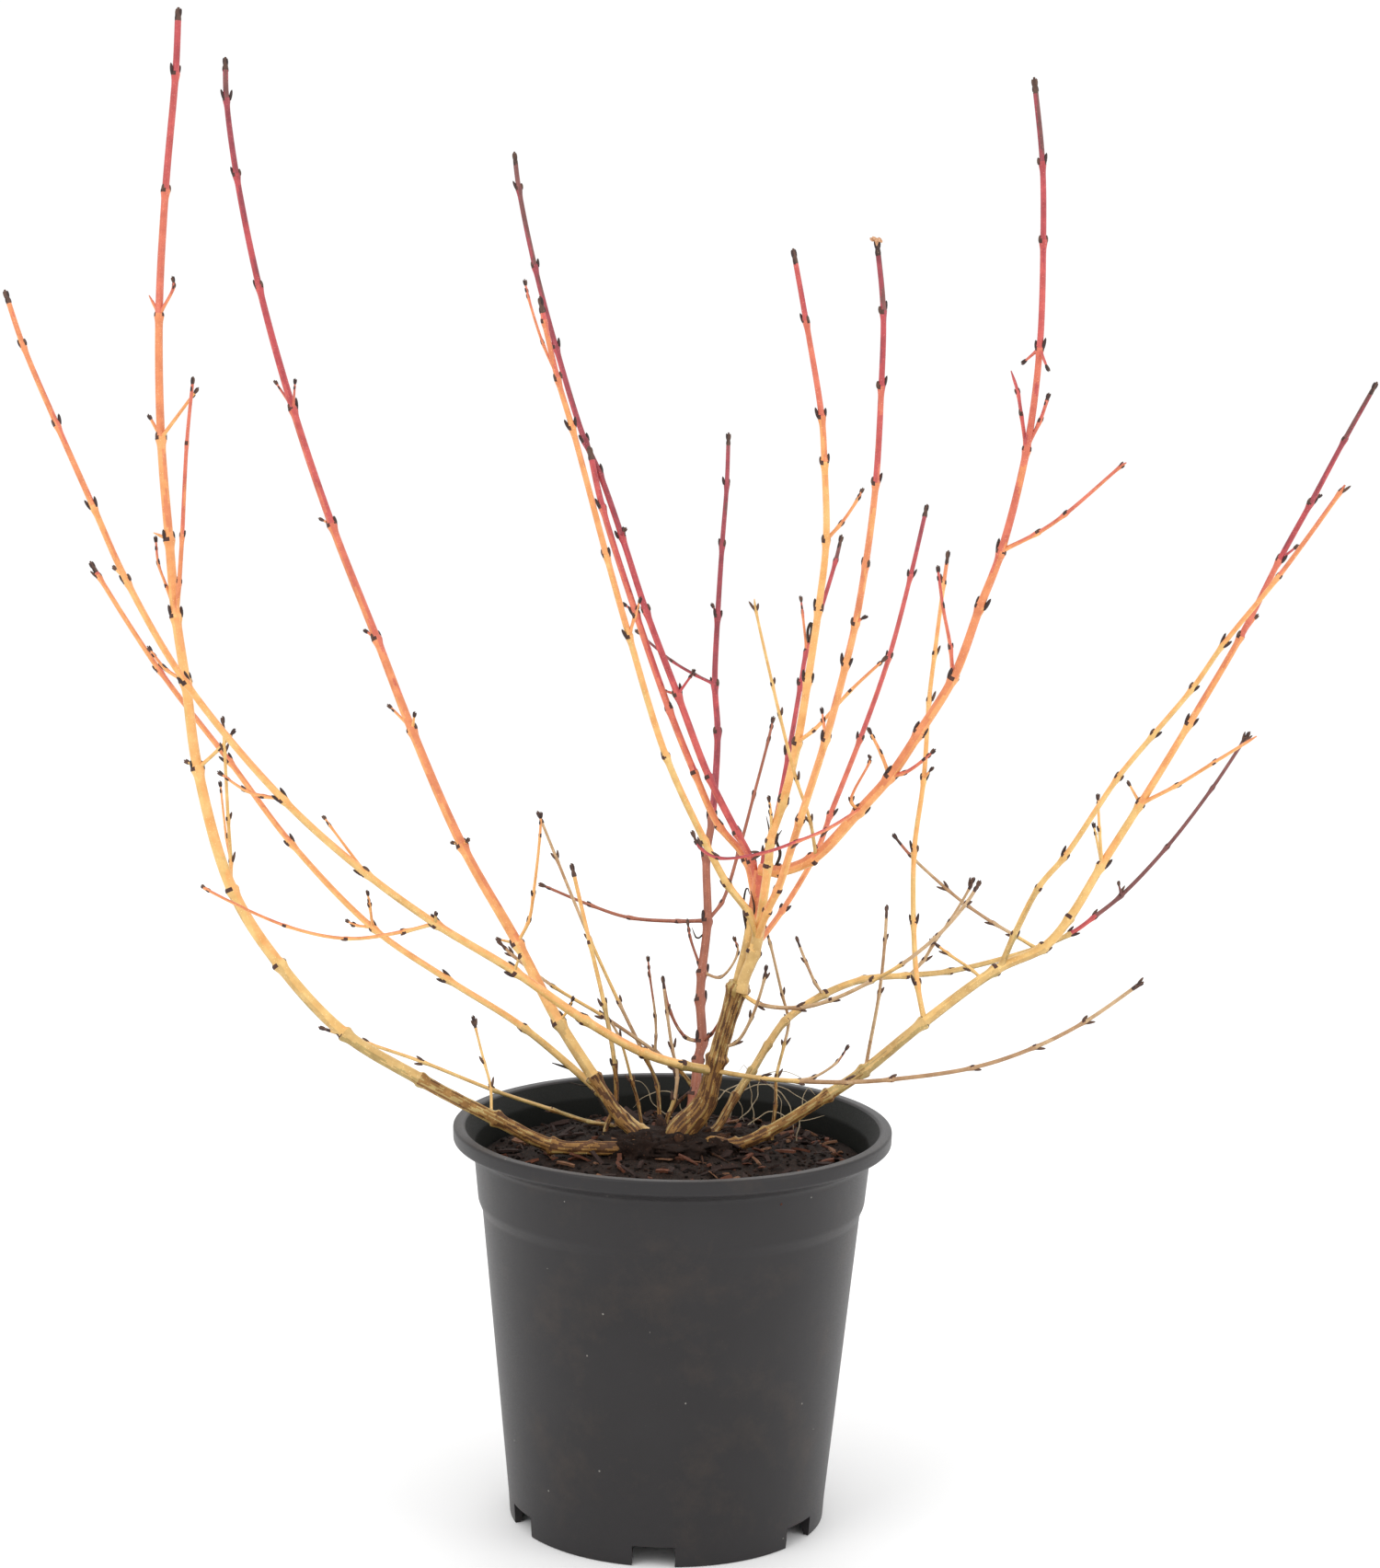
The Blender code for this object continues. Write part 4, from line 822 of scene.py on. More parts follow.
DULL_TONES = (TONES.index("fawn"), TONES.index("russet"))
SUNNY = np.array([0.0, -0.25, 0.97])
JOINT_STATIONS = (-0.0035, -0.0022, -0.0012, -0.0005, 0.0005, 0.0011, 0.002)
JOINT_ROOM = 0.0036
SWELL_BELOW = 0.0032
SWELL_ABOVE = 0.0011
JOINT_SWELL = 0.10
BUD_SWELL = 0.34
RING_SCAR = (-0.0006, 0.0004)
BUD_SCAR = (-0.0014, 0.0008)
THIN_TWIG = 0.0016
SMOOTH_TONE = 2.5
FLARE_LENGTH = 0.003
FURROWS = ((60, (9, 14, 22)), (30, (5, 8, 12)), (0, (2, 3, 5)))
FURROW_DRIFT = (0.018, 0.04)
FURROW_TONES = (0.0, 1.2, 2.5, 4.0)
FURROW_DEPTHS = (0.34, 0.20, 0.06, 0.018)
FURROW_GIRTH = 0.0035
CRACK_PITCH = 0.0021
BLOTCH_PITCH = 0.0071
BLOTCH_TWIST = 0.02
slot_of = {row["node"]: row["material_slot"] for row in frame["record"]["subparts"]}
harvest = {}
buds = []


def directions(path, sides):
    """Ways out from a path, square to it, turned as little as possible from ring to ring."""
    ahead = np.gradient(path, axis=0)
    ahead /= np.linalg.norm(ahead, axis=1)[:, None]
    side = np.empty_like(path)
    side[0] = Vector(ahead[0]).orthogonal().normalized()
    for index in range(1, len(path)):
        carried = side[index - 1] - ahead[index] * (side[index - 1] @ ahead[index])
        side[index] = carried / np.linalg.norm(carried)
    other = np.cross(ahead, side)
    turn = np.arange(sides) * math.tau / sides
    across, deep = np.cos(turn)[None, :, None], np.sin(turn)[None, :, None]
    return side[:, None] * across + other[:, None] * deep, turn


def limb(name, path, radii, tones, joints=(), sides=12, pitch=0.0012, flare=0.0, dark_tip=0.0):
    """The rings and tones of one limb: furrowed where it is old, swollen and scarred at its joints.

    Tones are numbers along the list of bark colours, one for each stretch between two joints,
    and a joint is a place along the path with the way that its pair of buds faces.
    """
    chance = random.Random(name)
    run = run_along(path)
    marks = [min(place, run[-1]) for place, _ in joints]
    around = [place + shift for place in marks for shift in JOINT_STATIONS]
    stations = [s for s in np.arange(0.0, run[-1], pitch)
                if all(abs(s - place) >= JOINT_ROOM for place in marks)]
    stations = np.unique([*stations, 0.0, run[-1], *(s for s in around if 0 < s < run[-1])])
    spots = at_run(path, run, stations)
    sizes = np.interp(stations, run, radii)
    ways, turn = directions(spots, sides)
    stretches = [int(np.searchsorted(marks, s, side="right")) for s in stations]
    tone = np.array([tones[min(stretch, len(tones) - 1)] for stretch in stretches])[:, None]
    shape = np.ones((len(stations), sides))
    scar = np.zeros((len(stations), sides))
    for place, way in joints:
        if place > run[-1]:
            continue
        past = (stations - place)[:, None]
        rise = np.exp(-(past / np.where(past < 0, SWELL_BELOW, SWELL_ABOVE)) ** 2)
        facing = np.abs(ways @ way) ** 2
        shape += rise * (JOINT_SWELL + BUD_SWELL * facing)
        seam = (tone > 3.0) | (sizes.mean() < THIN_TWIG)
        ringed = (past > RING_SCAR[0]) & (past < RING_SCAR[1])
        notched = (past > BUD_SCAR[0]) & (past < BUD_SCAR[1])
        scar = np.maximum(scar, ringed * (0.3 + facing) * seam)
        scar = np.maximum(scar, notched * (facing > 0.5) * (tone > 2.4))
    if flare:
        shape += flare * np.exp(-(stations / FLARE_LENGTH) ** 2)[:, None]
    along = stations[:, None]
    waves = next(waves for fewest, waves in FURROWS if sides > fewest)
    ridge = np.zeros((len(stations), sides))
    for wave in waves:
        start = chance.uniform(0, math.tau)
        length = chance.uniform(*FURROW_DRIFT)
        drift = start + 1.6 * np.sin(along / length + chance.uniform(0, 6))
        ridge += np.cos(wave * turn + drift) / len(waves)
    cracks = np.sin(along / CRACK_PITCH + 3.0 * turn + chance.uniform(0, 6))
    ridge += 0.35 * cracks * (tone < SMOOTH_TONE)
    depth = np.interp(tone[:, 0], FURROW_TONES, FURROW_DEPTHS) * MM
    depth = (depth * np.clip(sizes / FURROW_GIRTH, 0.4, 1.3))[:, None]
    points = spots[:, None] + ways * (sizes[:, None] * shape + depth * ridge)[..., None]
    blotch = np.sin(along / BLOTCH_PITCH + chance.uniform(0, 6))
    blotch = blotch * np.sin(turn + along / BLOTCH_TWIST)
    old = np.clip((3.0 - tone) / 2.0, 0.0, 1.0)
    sunned = 1.45 * np.clip(ways @ SUNNY, -0.8, 0.9) + 0.35 * blotch
    shade = np.clip(np.rint(tone + 1.35 * old * ridge + (1 - old) * sunned), 0, SCAR_TONE - 1)
    shade = np.where(tone > DRY_TONE, np.clip(np.rint(tone + 0.5 * blotch), *DULL_TONES), shade)
    shade[scar > 0.75] = SCAR_TONE
    if dark_tip:
        shade[stations > run[-1] - dark_tip] = DRY_TONE
    return points, shade.astype(int)


def gather(node, *rings):
    """Sets a limb aside for the joined piece of its node's material slot."""
    harvest.setdefault(slot_of[node], {"nodes": [], "limbs": []})
    store = harvest[slot_of[node]]
    if node not in store["nodes"]:
        store["nodes"].append(node)
    store["limbs"] += rings


def tube_mesh(name, limbs, skins):
    """One mesh from the rings of several limbs, each face in the skin that its tone names."""
    corners, faces, tones, start = [], [], [], 0
    for points, shade in limbs:
        rings, sides = points.shape[:2]
        here = start + np.arange(rings * sides).reshape(rings, sides)
        beside = np.roll(here, -1, axis=1)
        quads = np.stack([here[:-1], beside[:-1], beside[1:], here[1:]], axis=-1).reshape(-1, 4)
        corners.append(points.reshape(-1, 3))
        faces += quads.tolist() + [here[0][::-1].tolist(), here[-1].tolist()]
        tones += shade[:-1].reshape(-1).tolist() + [int(shade[0, 0]), int(shade[-1, 0])]
        start += rings * sides
    tones = np.clip(tones, 0, len(skins) - 1)
    used = sorted(set(tones.tolist()))
    mesh = bpy.data.meshes.new(name)
    mesh.from_pydata(np.vstack(corners).tolist(), [], faces)
    for tone in used:
        mesh.materials.append(skins[tone])
    mesh.polygons.foreach_set("material_index", np.searchsorted(used, tones).astype(np.int32))
    return mesh


def join_limbs(side):
    """Joins the limbs that were set aside into one piece for each material slot."""
    for slot, store in sorted(harvest.items()):
        mesh = tube_mesh(f"{side}_{slot}", store["limbs"], bark_skins)
        stand(f"{side}_{slot}", mesh, store["nodes"], sharp=50.0)
    harvest.clear()


BUD_SINK = 0.0008
SMALL_BUD_LENGTH = (0.0010, 0.0020)
SMALL_BUD_WIDTH = 0.0009
TIP_BUD_LENGTH = 0.0030
TIP_BUD_WIDTH = 0.0009
TIP_PAIR_BELOW = (0.0062, 0.0078)
TIP_PAIR_LENGTH = 0.0013
TIP_PAIR_WIDTH = 0.0008
SHORTEST_TIPPED = 0.02
STOUT_STEM = 0.0013
SLIGHT_LENGTH = 0.0020
SPUR_WIDTH = 0.0012


def facing_of(path, run, place, turn):
    """A joint's place, the way that its cane runs, and the way that its pair of buds faces."""
    spot, before, after = at_run(path, run, place + JOINT_SPAN * np.array([0.0, -1.0, 1.0]))
    ahead = (after - before) / np.linalg.norm(after - before)
    across = np.cross(ahead, spot - np.array(EYE))
    across /= np.linalg.norm(across)
    return spot, ahead, across * math.cos(turn) + np.cross(ahead, across) * math.sin(turn)


def leaning(side, ahead, lean):
    """The way ahead, leaned over to a side by an angle."""
    return side * math.sin(lean) + ahead * math.cos(lean)


def put_bud(spot, way, length, width, kind):
    """Notes the place of one bud, which points along a way from a spot."""
    turn = Vector(way).to_track_quat("Z", "X").to_matrix().to_4x4()
    size = Matrix.Diagonal((width, width, length, 1.0))
    buds.append((Matrix.Translation(spot) @ turn @ size, kind))


def lay_bud(spot, ahead, side, radius, tip, width, kind):
    """A bud pressed against a joint's shoulder, with its tip where the rule puts it."""
    base = spot + side * radius * 0.95 - ahead * BUD_SINK
    put_bud(base, tip - base, np.linalg.norm(tip - base), width, kind)


def small_pair(name, path, radii, run, places, share=1.0):
    """Small buds at the joints of a bough or a thin twig, and the ways that they face."""
    chance = random.Random(name + " small buds")
    faced = []
    for place in places:
        spot, ahead, facing = facing_of(path, run, place, chance.uniform(-1.0, 1.0))
        faced.append((place, facing))
        radius = float(np.interp(place, run, radii))
        width = SMALL_BUD_WIDTH + radius * 0.4
        for side in (facing, -facing):
            way = leaning(side, ahead, math.radians(chance.uniform(16, 36)))
            tip = spot + way * (chance.uniform(*SMALL_BUD_LENGTH) + radius * 1.25)
            if chance.random() < share:
                lay_bud(spot, ahead, side, radius, tip, width, chance.choice((0, 1)))
    return faced


def put_tip(path, radii, run, chance):
    """Two blunt scales that part a little at a shoot's tip, and a pair of small buds below them."""
    end = path[-1]
    back = at_run(path, run, np.array([run[-1] - 0.004]))[0]
    ahead = (end - back) / np.linalg.norm(end - back)
    radius = float(np.interp(run[-1] - TIP_LENGTH, run, radii))
    length = TIP_BUD_LENGTH + radius * 1.5
    across = np.cross(ahead, end - np.array(EYE))
    across /= np.linalg.norm(across)
    turn = chance.uniform(-0.7, 0.7)
    side = across * math.cos(turn) + np.cross(ahead, across) * math.sin(turn)
    for half in (1.0, -1.0):
        way = leaning(side * half, ahead, math.radians(chance.uniform(6, 13)))
        scale_length = length * chance.uniform(0.86, 0.98)
        put_bud(end - ahead * length + side * half * radius * 0.30, way, scale_length,
                TIP_BUD_WIDTH + radius * 0.75, chance.choice((0, 1)))
    place = run[-1] - chance.uniform(*TIP_PAIR_BELOW)
    if run[-1] > SHORTEST_TIPPED:
        spot, ahead, facing = facing_of(path, run, place, turn + chance.uniform(0.3, 1.1))
        for side in (facing, -facing):
            way = leaning(side, ahead, math.radians(chance.uniform(14, 26)))
            tip = spot + way * (TIP_PAIR_LENGTH + radius * 1.2)
            lay_bud(spot, ahead, side, radius * 0.9, tip, TIP_PAIR_WIDTH + radius * 0.4, 0)


def spurs(name, path, radii, joints, own):
    """Pairs of buds at a stem's joints, without those that would touch another limb or twig.

    The stouter ones are those that the solids carry. Each joint's place and facing come back.
    """
    chance = random.Random(name)
    run = run_along(path)
    faced, count = [], 0
    for place in joints:
        spot, ahead, facing = facing_of(path, run, place, chance.uniform(-SPUR_TURN, SPUR_TURN))
        faced.append((place, facing))
        radius = float(np.interp(place, run, radii))
        for side in (facing, -facing):
            way = leaning(side, ahead, SPUR_LEAN)
            tip = spot + way * (chance.uniform(*SPUR_LENGTH) + radius)
            stout = chance.random() <= SPUR_CHANCE
            room = [outside(tip[None], other)[0]
                    for owner, other in standing.items() if owner != name]
            if min(room) < SPUR_CLEARANCE + SPUR_GIRTH / 2:
                continue
            if stout:
                own.add(f"{name}_spur{count}")
                standing[f"{name}_spur{count}"] = (
                    np.array([spot + way * radius * SPUR_ROOT_SHARE, tip]),
                    SPUR_GIRTH / 2 * np.array([1.0, SPUR_TIP_SHARE]))
                count += 1
            else:
                tip = spot + way * (SLIGHT_LENGTH + radius)
            if stout or radius > STOUT_STEM:
                kind = 0 if stout and radius > STOUT_STEM else 1
                lay_bud(spot, ahead, side, radius, tip, SPUR_WIDTH + radius * 0.48, kind)
    return faced


def section(path, radii, start, end):
    """The stretch of a path between two lengths along it."""
    run = run_along(path)
    inside = (run > start + 1e-6) & (run < end - 1e-6)
    where = np.concatenate([[start], run[inside], [end]])
    return at_run(path, run, where), np.interp(where, run, radii)


nodes = in_depth([(7.5, -174), (13, -155.5), (17.5, -139), (22.5, -122), (27, -108)], (3, 0, -2))
ground = np.array([-0.0025, 0.003, SOIL_TOP + GAP])
trunk_path = smooth([ground, ground + np.array([0.0, 0.0, 0.006]), *nodes])
trunk_path[1, :2] = ground[:2]
trunk_radii = tapered(trunk_path, (17, 14, 10.6, 9.6, 9.4, 11.8), tip=False)
trunk_radii[0] = trunk_radii[1]
standing["trunk"] = refined(*thinned(trunk_path, trunk_radii, CHORD_TOLERANCE, level=True))
trunk_run = run_along(trunk_path)
knot = (trunk_run[-1] * 0.56, np.array([0.9, -0.4, 0.1]))
collar = (trunk_run[-1] * 0.97, np.array([0.8, 0.5, 0.3]))
gather("trunk", limb("trunk", trunk_path, trunk_radii, (0.5, 0.95, 1.3), (knot, collar),
                     sides=72, pitch=0.0008, flare=0.25))
forks = {
    "left_fork": ([(25, -113), (27, -104), (31, -89), (34.5, -69), (38, -47)],
                  (1.4, 4), (6.0, 6.4), (2.9, 7.0)),
    "right_fork": ([(27.5, -113), (30, -104), (33, -97), (36, -87), (38, -76)],
                   (-5.6, -6), (6.4, 6.6), (2.7, 3.3)),
}
for name, (spots, away, girth, tones) in forks.items():
    path = smooth(in_depth(spots, away))
    radii = tapered(path, girth, tip=False)
    path = give_way(path, radii, ("trunk",))
    standing[name] = trim_start(*refined(*thinned(path, radii, CHORD_TOLERANCE)), ("trunk",))
    half_way = (run_along(path)[-1] * 0.6, np.array([1.0, 0.0, 0.0]))
    gather(name, limb(name, path, radii, tones, (half_way,), sides=24, pitch=0.001, flare=0.3))
join_limbs("trunk")


# The canes that arch and lean to the left are smooth young bark, yellow near the pot and red at
# their tips, with a ring scar and a pair of dark buds at each joint, and thin side twigs.
CUT_ENDS = {"left_arch_twig5", "left_arch_twig8", "right_arch_twig4", "right_arch_twig5",
            "right_cane_twig2", "pale_shoot", "outer_cane"}
DARK_TWIG_TIP = 0.0050
DARK_CANE_TIP = 0.0085
FURROWED_TONE = 2.3
BARE_TONE = 2.0
STOUT_BOUGH = 0.0028


def nearest_runs(path, run, nodes):
    """How far along a path its nearest points to the nodes lie, as seen from the front."""
    flat = path[:, [0, 2]]
    return [float(run[np.linalg.norm(flat - node[[0, 2]], axis=1).argmin()]) for node in nodes]


def tone_along(tones, share):
    """The tone at a share of a cane's length. Dull tones don't shade over into bright ones."""
    if max(tones) > DRY_TONE:
        return float(tones[round(share * (len(tones) - 1))])
    return float(np.interp(share, np.linspace(0.0, 1.0, len(tones)), tones))


def grow(name, spots, away, girth, tones, foot=None, parent=None, boughs=(), twigs=()):
    """Grows one cane: its boughs, the twiggy top that goes on, and the buds at their joints.

    Spots are places on the front drawing. The depths in away, the diameters in girth and the
    tones are spread evenly along the cane. A bough is a name and the node where it ends. A twig
    is the node that it leaves, its lean in depth, its diameter and its own spots.
    """
    nodes = in_depth(spots, away)
    parents = (parent,) if parent else ()
    held = 0.0
    if parent:
        nodes[0] = on_limb(parent, spots[0])
        held = ROOT_HOLD
    if foot:
        ground = np.array([foot[0] * MM, foot[1] * MM, SOIL_TOP + GAP])
        rise = max(FOOT_RISE, girth[0] * MM * FOOT_RISE_SHARE)
        nodes = [ground, ground + np.array([0.0, 0.0, rise]), *nodes]
        held = FOOT_HOLD
    full = smooth(nodes)
    full_radii = tapered(full, girth)
    full = give_way(full, full_radii, parents, held)
    if foot:
        full[1, :2] = ground[:2]
    path, radii = refined(*thinned(full, full_radii, CHORD_TOLERANCE, level=bool(foot)))
    if parent:
        path, radii = trim_start(path, radii, parents)
    standing[name] = (path, radii)
    run, full_run = run_along(path), run_along(full)
    drawn = nodes[2 if foot else 0:]
    nearest = nearest_runs(path, run, drawn)
    places = nearest_runs(full, full_run, drawn)
    stretches = len(places) - 1
    stretch_tones = [tone_along(tones, k / max(1, stretches - 1)) for k in range(stretches)]
    marks = places[1:-1]
    if foot:
        stretch_tones.insert(0, stretch_tones[0])
        marks.insert(0, places[0])

    start, start_run = 0.0, 0.0
    for part, node in boughs:
        bough = f"{name}_{part}"
        end = places[node] - BOUGH_STOP
        piece, sizes = section(full, full_radii, start, end)
        inside = [place - start for place in marks if start < place < end]
        first = sum(place <= start for place in marks)
        tone = stretch_tones[first]
        faced = small_pair(bough, piece, sizes, run_along(piece), inside,
                           share=0.55 if tone > BARE_TONE else 0.0)
        young_sides = 18 if sizes.max() > STOUT_BOUGH else 14
        gather(bough, limb(bough, piece, sizes, stretch_tones[first:], faced,
                           sides=young_sides if tone > FURROWED_TONE else 36,
                           pitch=0.001, flare=0.0 if start else 0.25))
        start, start_run = end, nearest[node] - BOUGH_STOP + GAP

    top = f"{name}_top" if boughs else name
    stem = section(path, radii, start_run, run[-1])
    own = {name}
    for number, (node, lean, width, *way) in enumerate(twigs):
        branch = f"{name}_twig{number}"
        chance = random.Random(f"{name} twig {number}")
        root = at_run(path, run, np.array([nearest[node]]))[0]
        depths = root[1] / MM + lean * np.linspace(0.0, 1.0, len(way) + 1)[1:]
        spots_seen = [seen(*spot, depth) for spot, depth in zip(way, depths)]
        twig = smooth([root, *spots_seen])
        sizes = tapered(twig, (width, width * TWIG_TAPER))
        twig = give_way(twig, sizes, own)
        twig[0] = root
        own.add(branch)
        standing[branch] = refined(*thinned(twig, sizes, CHORD_TOLERANCE))
        twig_run = run_along(twig)
        tone = stretch_tones[min(node, len(stretch_tones) - 1)] + chance.uniform(-1.2, 1.2)
        knees = nearest_runs(twig, twig_run, spots_seen[:-1])
        faced = small_pair(branch, twig, sizes, twig_run, knees, share=0.45)
        whole = branch not in CUT_ENDS
        gather(top, limb(branch, twig, sizes, [tone + 0.5 * k for k in range(len(way))], faced,
                         sides=8, pitch=0.0015, flare=0.5,
                         dark_tip=DARK_TWIG_TIP if whole else 0.0))
        if whole:
            put_tip(twig, sizes, twig_run, chance)

    joints = [place - start_run for place in nearest[1:-1] if place > start_run + BOUGH_STOP / 2]
    faced = spurs(name, *stem, joints, own)
    piece, sizes = section(full, full_radii, start, full_run[-1])
    shift = full_run[-1] - start - run_along(stem[0])[-1]
    first = sum(place <= start for place in marks)
    low_joints = [(place - start, np.array([1.0, 0.0, 0.0]))
                  for place in marks if start < place < places[1]]
    whole = name not in CUT_ENDS
    gather(top, limb(top, piece, sizes, stretch_tones[first:],
                     low_joints + [(place + shift, way) for place, way in faced],
                     flare=0.0 if start else 0.25, dark_tip=DARK_CANE_TIP if whole else 0.0))
    if whole:
        put_tip(full, full_radii, full_run, random.Random(name + " tip"))


grow("left_arch",
     [(-30, -198), (-53.5, -198), (-75, -196.5), (-106.5, -181.5), (-147.5, -160), (-188.5, -135),
      (-223.5, -97.5), (-249, -57), (-267.5, 8), (-274, 55), (-279.5, 92), (-283, 132),
      (-287.5, 188.5), (-288.5, 256), (-285, 323.5), (-279.5, 387), (-278, 422)],
     (-22, -24, -10, 20, 50, 70), (7.6, 7.2, 6.5, 6.1, 5.4, 4.9, 4.3, 3.9, 3.6),
     (0.2, 0.6, 1.2, 2.8, 3.8, 4.2, 4.8, 5.6, 6.4, 8.0, 9.4), boughs=[("low", 5), ("rise", 8)],
     twigs=[(8, 6, 2.2, (-275, 13)), (8, -12, 2.2, (-255, 20), (-247, 30)),
            (9, 10, 2.2, (-285, 62.5), (-295, 75)),
            (10, -16, 2.6, (-277.5, 111), (-276, 135), (-273.5, 185), (-270, 221.5)),
            (10, 14, 1.8, (-285, 108.5), (-289, 120), (-290.5, 135)), (11, 8, 2.2, (-291.5, 136.5)),
            (12, 10, 2.2, (-294.5, 201)), (12, -14, 2.2, (-267, 215.5)),
            (13, 6, 2.2, (-294, 265.5)), (13, -8, 2.0, (-280.5, 270.5), (-281.5, 276))])
grow("tall_left",
     [(-37.5, -181.5), (-52.5, -159), (-71.5, -129), (-94, -86), (-123.5, -34), (-151, 29),
      (-170.5, 79.5), (-194.5, 140.5), (-216, 204.5), (-234, 269.5), (-246.5, 331), (-252, 373),
      (-252.5, 395)],
     (10, 50, 110, 150, 170), (7.4, 6.0, 5.2, 4.7, 4.3, 3.7, 3.1),
     (0.6, 4.2, 5.8, 6.4, 7.2, 9.2, 10.2, 11.0), foot=(-26, 4), boughs=[("bough", 2)],
     twigs=[(2, -8, 1.6, (-66.5, -123), (-63, -115)),
            (3, -14, 2.0, (-87.5, -74), (-85, -59), (-81.5, -27.5), (-81, -15)),
            (3, 8, 1.8, (-106, -84)), (4, 6, 1.8, (-130.5, -31.5)), (4, -6, 1.8, (-119.5, -29.5)),
            (5, 12, 2.0, (-164.5, 43.5)), (5, -6, 1.8, (-149.5, 39.5)), (6, 6, 2.0, (-177.5, 84)),
            (7, 6, 1.8, (-202, 144.5)), (8, 12, 1.8, (-226, 219.5)),
            (8, -10, 1.6, (-214.5, 220.5))])
grow("far_left",
     [(10, -155), (-5, -152.5), (-26.5, -145.5), (-58.5, -127.5), (-96, -101.5), (-139, -75.5),
      (-177.5, -47.5), (-222, -7.5), (-274, 55), (-306.5, 111), (-324, 150), (-344, 195),
      (-362.5, 238.5), (-372.5, 268.5)],
     (-6, -50, -90, -80, -42), (5.3, 4.8, 4.1, 3.8, 3.4, 3.1, 2.7),
     (2.8, 4.2, 4.6, 4.2, 4.8, 5.2, 6.8, 6.4), parent="trunk", boughs=[("bough", 4)],
     twigs=[(4, -8, 1.8, (-92, -92)),
            (5, 20, 2.2, (-155, -80), (-186, -84), (-220, -77), (-264, -56.5), (-265.5, -55)),
            (5, -8, 1.8, (-138, -69)), (6, 10, 1.8, (-196.5, -21.5), (-199.5, -17)),
            (7, 14, 2.0, (-232.5, -6.5), (-242.5, -3), (-257, 7)), (9, 10, 1.8, (-314, 118.5))])
grow("low_left",
     [(-26.5, -187.5), (-50, -166.5), (-91, -132), (-132, -106), (-172, -78.5), (-216.5, -32.5),
      (-250, 12), (-288.5, 62), (-322, 114), (-326, 121)],
     (18, 60, 120, 150), (4.8, 3.8, 3.6, 3.3, 2.7), (2.3, 3.0, 4.2, 4.6, 5.2, 6.8, 5.6, 7.6),
     foot=(-17, 14), boughs=[("bough", 3)],
     twigs=[(4, -8, 1.8, (-174, -66.5), (-175.5, -57.5)),
            (4, 10, 1.8, (-182.5, -76.5), (-187.5, -73.5))])
grow("rim_shoot",
     [(-55, -183.5), (-75, -177), (-106.5, -166.5), (-145.5, -151), (-175, -141), (-202, -132)],
     (34, 70), (2.4, 1.9), (1.6, 2.6, 3.6, 3.8), foot=(-38, 28))
grow("left_arch_shoots",
     [(-249.5, -55), (-249.5, -42.5), (-251, -19), (-253, 20), (-254, 37)],
     (12, -14), (2.2, 1.6), (3.8, 4.0, 4.0), parent="left_arch",
     twigs=[(1, 22, 1.6, (-252, -29), (-255.5, 2))])
grow("left_arch_spur",
     [(-106.5, -180), (-108.5, -164), (-112, -150.5), (-117, -130.5), (-118, -125.5)],
     (-20, 6), (1.7, 1.3), (3.0, 3.6), parent="left_arch")
join_limbs("left")


# The upright canes stand behind the trunk and on its two limbs, some red from the foot and some
# orange or yellow, with thin twigs that cross between them.
grow("middle",
     [(2.5, -169), (4.5, -149), (6.5, -140.5), (5.5, -116.5), (6.5, -102), (9.5, -74.5), (9, -39),
      (12, -19), (15, 27.5), (13.5, 54.5), (15, 90.5), (17.5, 130), (20, 162.5), (21, 191)],
     (30, 80, 120, 150), (6.0, 5.3, 4.5, 3.6, 3.0, 2.4), (17, 17, 17, 17, 17, 10, 10, 10.6, 10.8),
     foot=(1, 24), boughs=[("bough", 2)],
     twigs=[(2, -10, 2.0, (11.5, -136), (19, -124)),
            (2, 10, 2.2, (-2.5, -137.5), (-11, -123), (-15, -104)),
            (4, 8, 1.8, (4.5, -96.5), (0, -83), (-1.5, -73)),
            (4, -14, 1.8, (16.5, -105), (26, -91.5), (23.5, -82.5)),
            (5, 20, 2.4, (-7.5, -74.5), (-33.5, -72.5), (-55, -65.5), (-82.5, -54)),
            (5, 26, 2.2, (17.5, -64), (26.5, -36.5), (35, -5), (42.5, 23.5), (45.5, 37)),
            (9, 14, 2.0, (2.5, 59.5), (-10, 67), (-30, 84)), (10, 6, 1.6, (11.5, 98.5))])
grow("right_arch",
     [(40, -48.5), (50, -47), (67.5, -40), (92.5, -14), (109, 4.5), (125, 28.5), (143.5, 58.5),
      (157.5, 96), (169, 126), (183, 182), (190, 236), (192, 295.5), (191.5, 338), (187, 384)],
     (2, -30, -60, -80, -60), (6.2, 5.6, 4.9, 4.2, 3.5, 3.1, 2.8),
     (5.6, 5.8, 6.2, 6.4, 7.0, 7.8, 9.0, 11.0), parent="left_fork", boughs=[("low", 3)],
     twigs=[(3, -14, 1.8, (87.5, -9), (97.5, 12), (97.5, 16)), (4, 12, 2.2, (104, 16), (96.5, 31)),
            (4, -16, 2.2, (117.5, 6.5), (127.5, 13.5), (133.5, 19)),
            (6, 14, 2.2, (141.5, 74.5), (137.5, 96), (134.5, 119)),
            (8, -24, 2.4, (190, 137), (204.5, 147), (234, 172.5), (237, 174.5)),
            (9, 12, 2.2, (180, 201), (178, 213.5), (174.5, 224.5)),
            (9, -10, 2.2, (190.5, 198), (194, 208.5), (195, 212.5)), (10, 8, 1.8, (180, 228)),
            (10, -8, 1.8, (195, 224))])
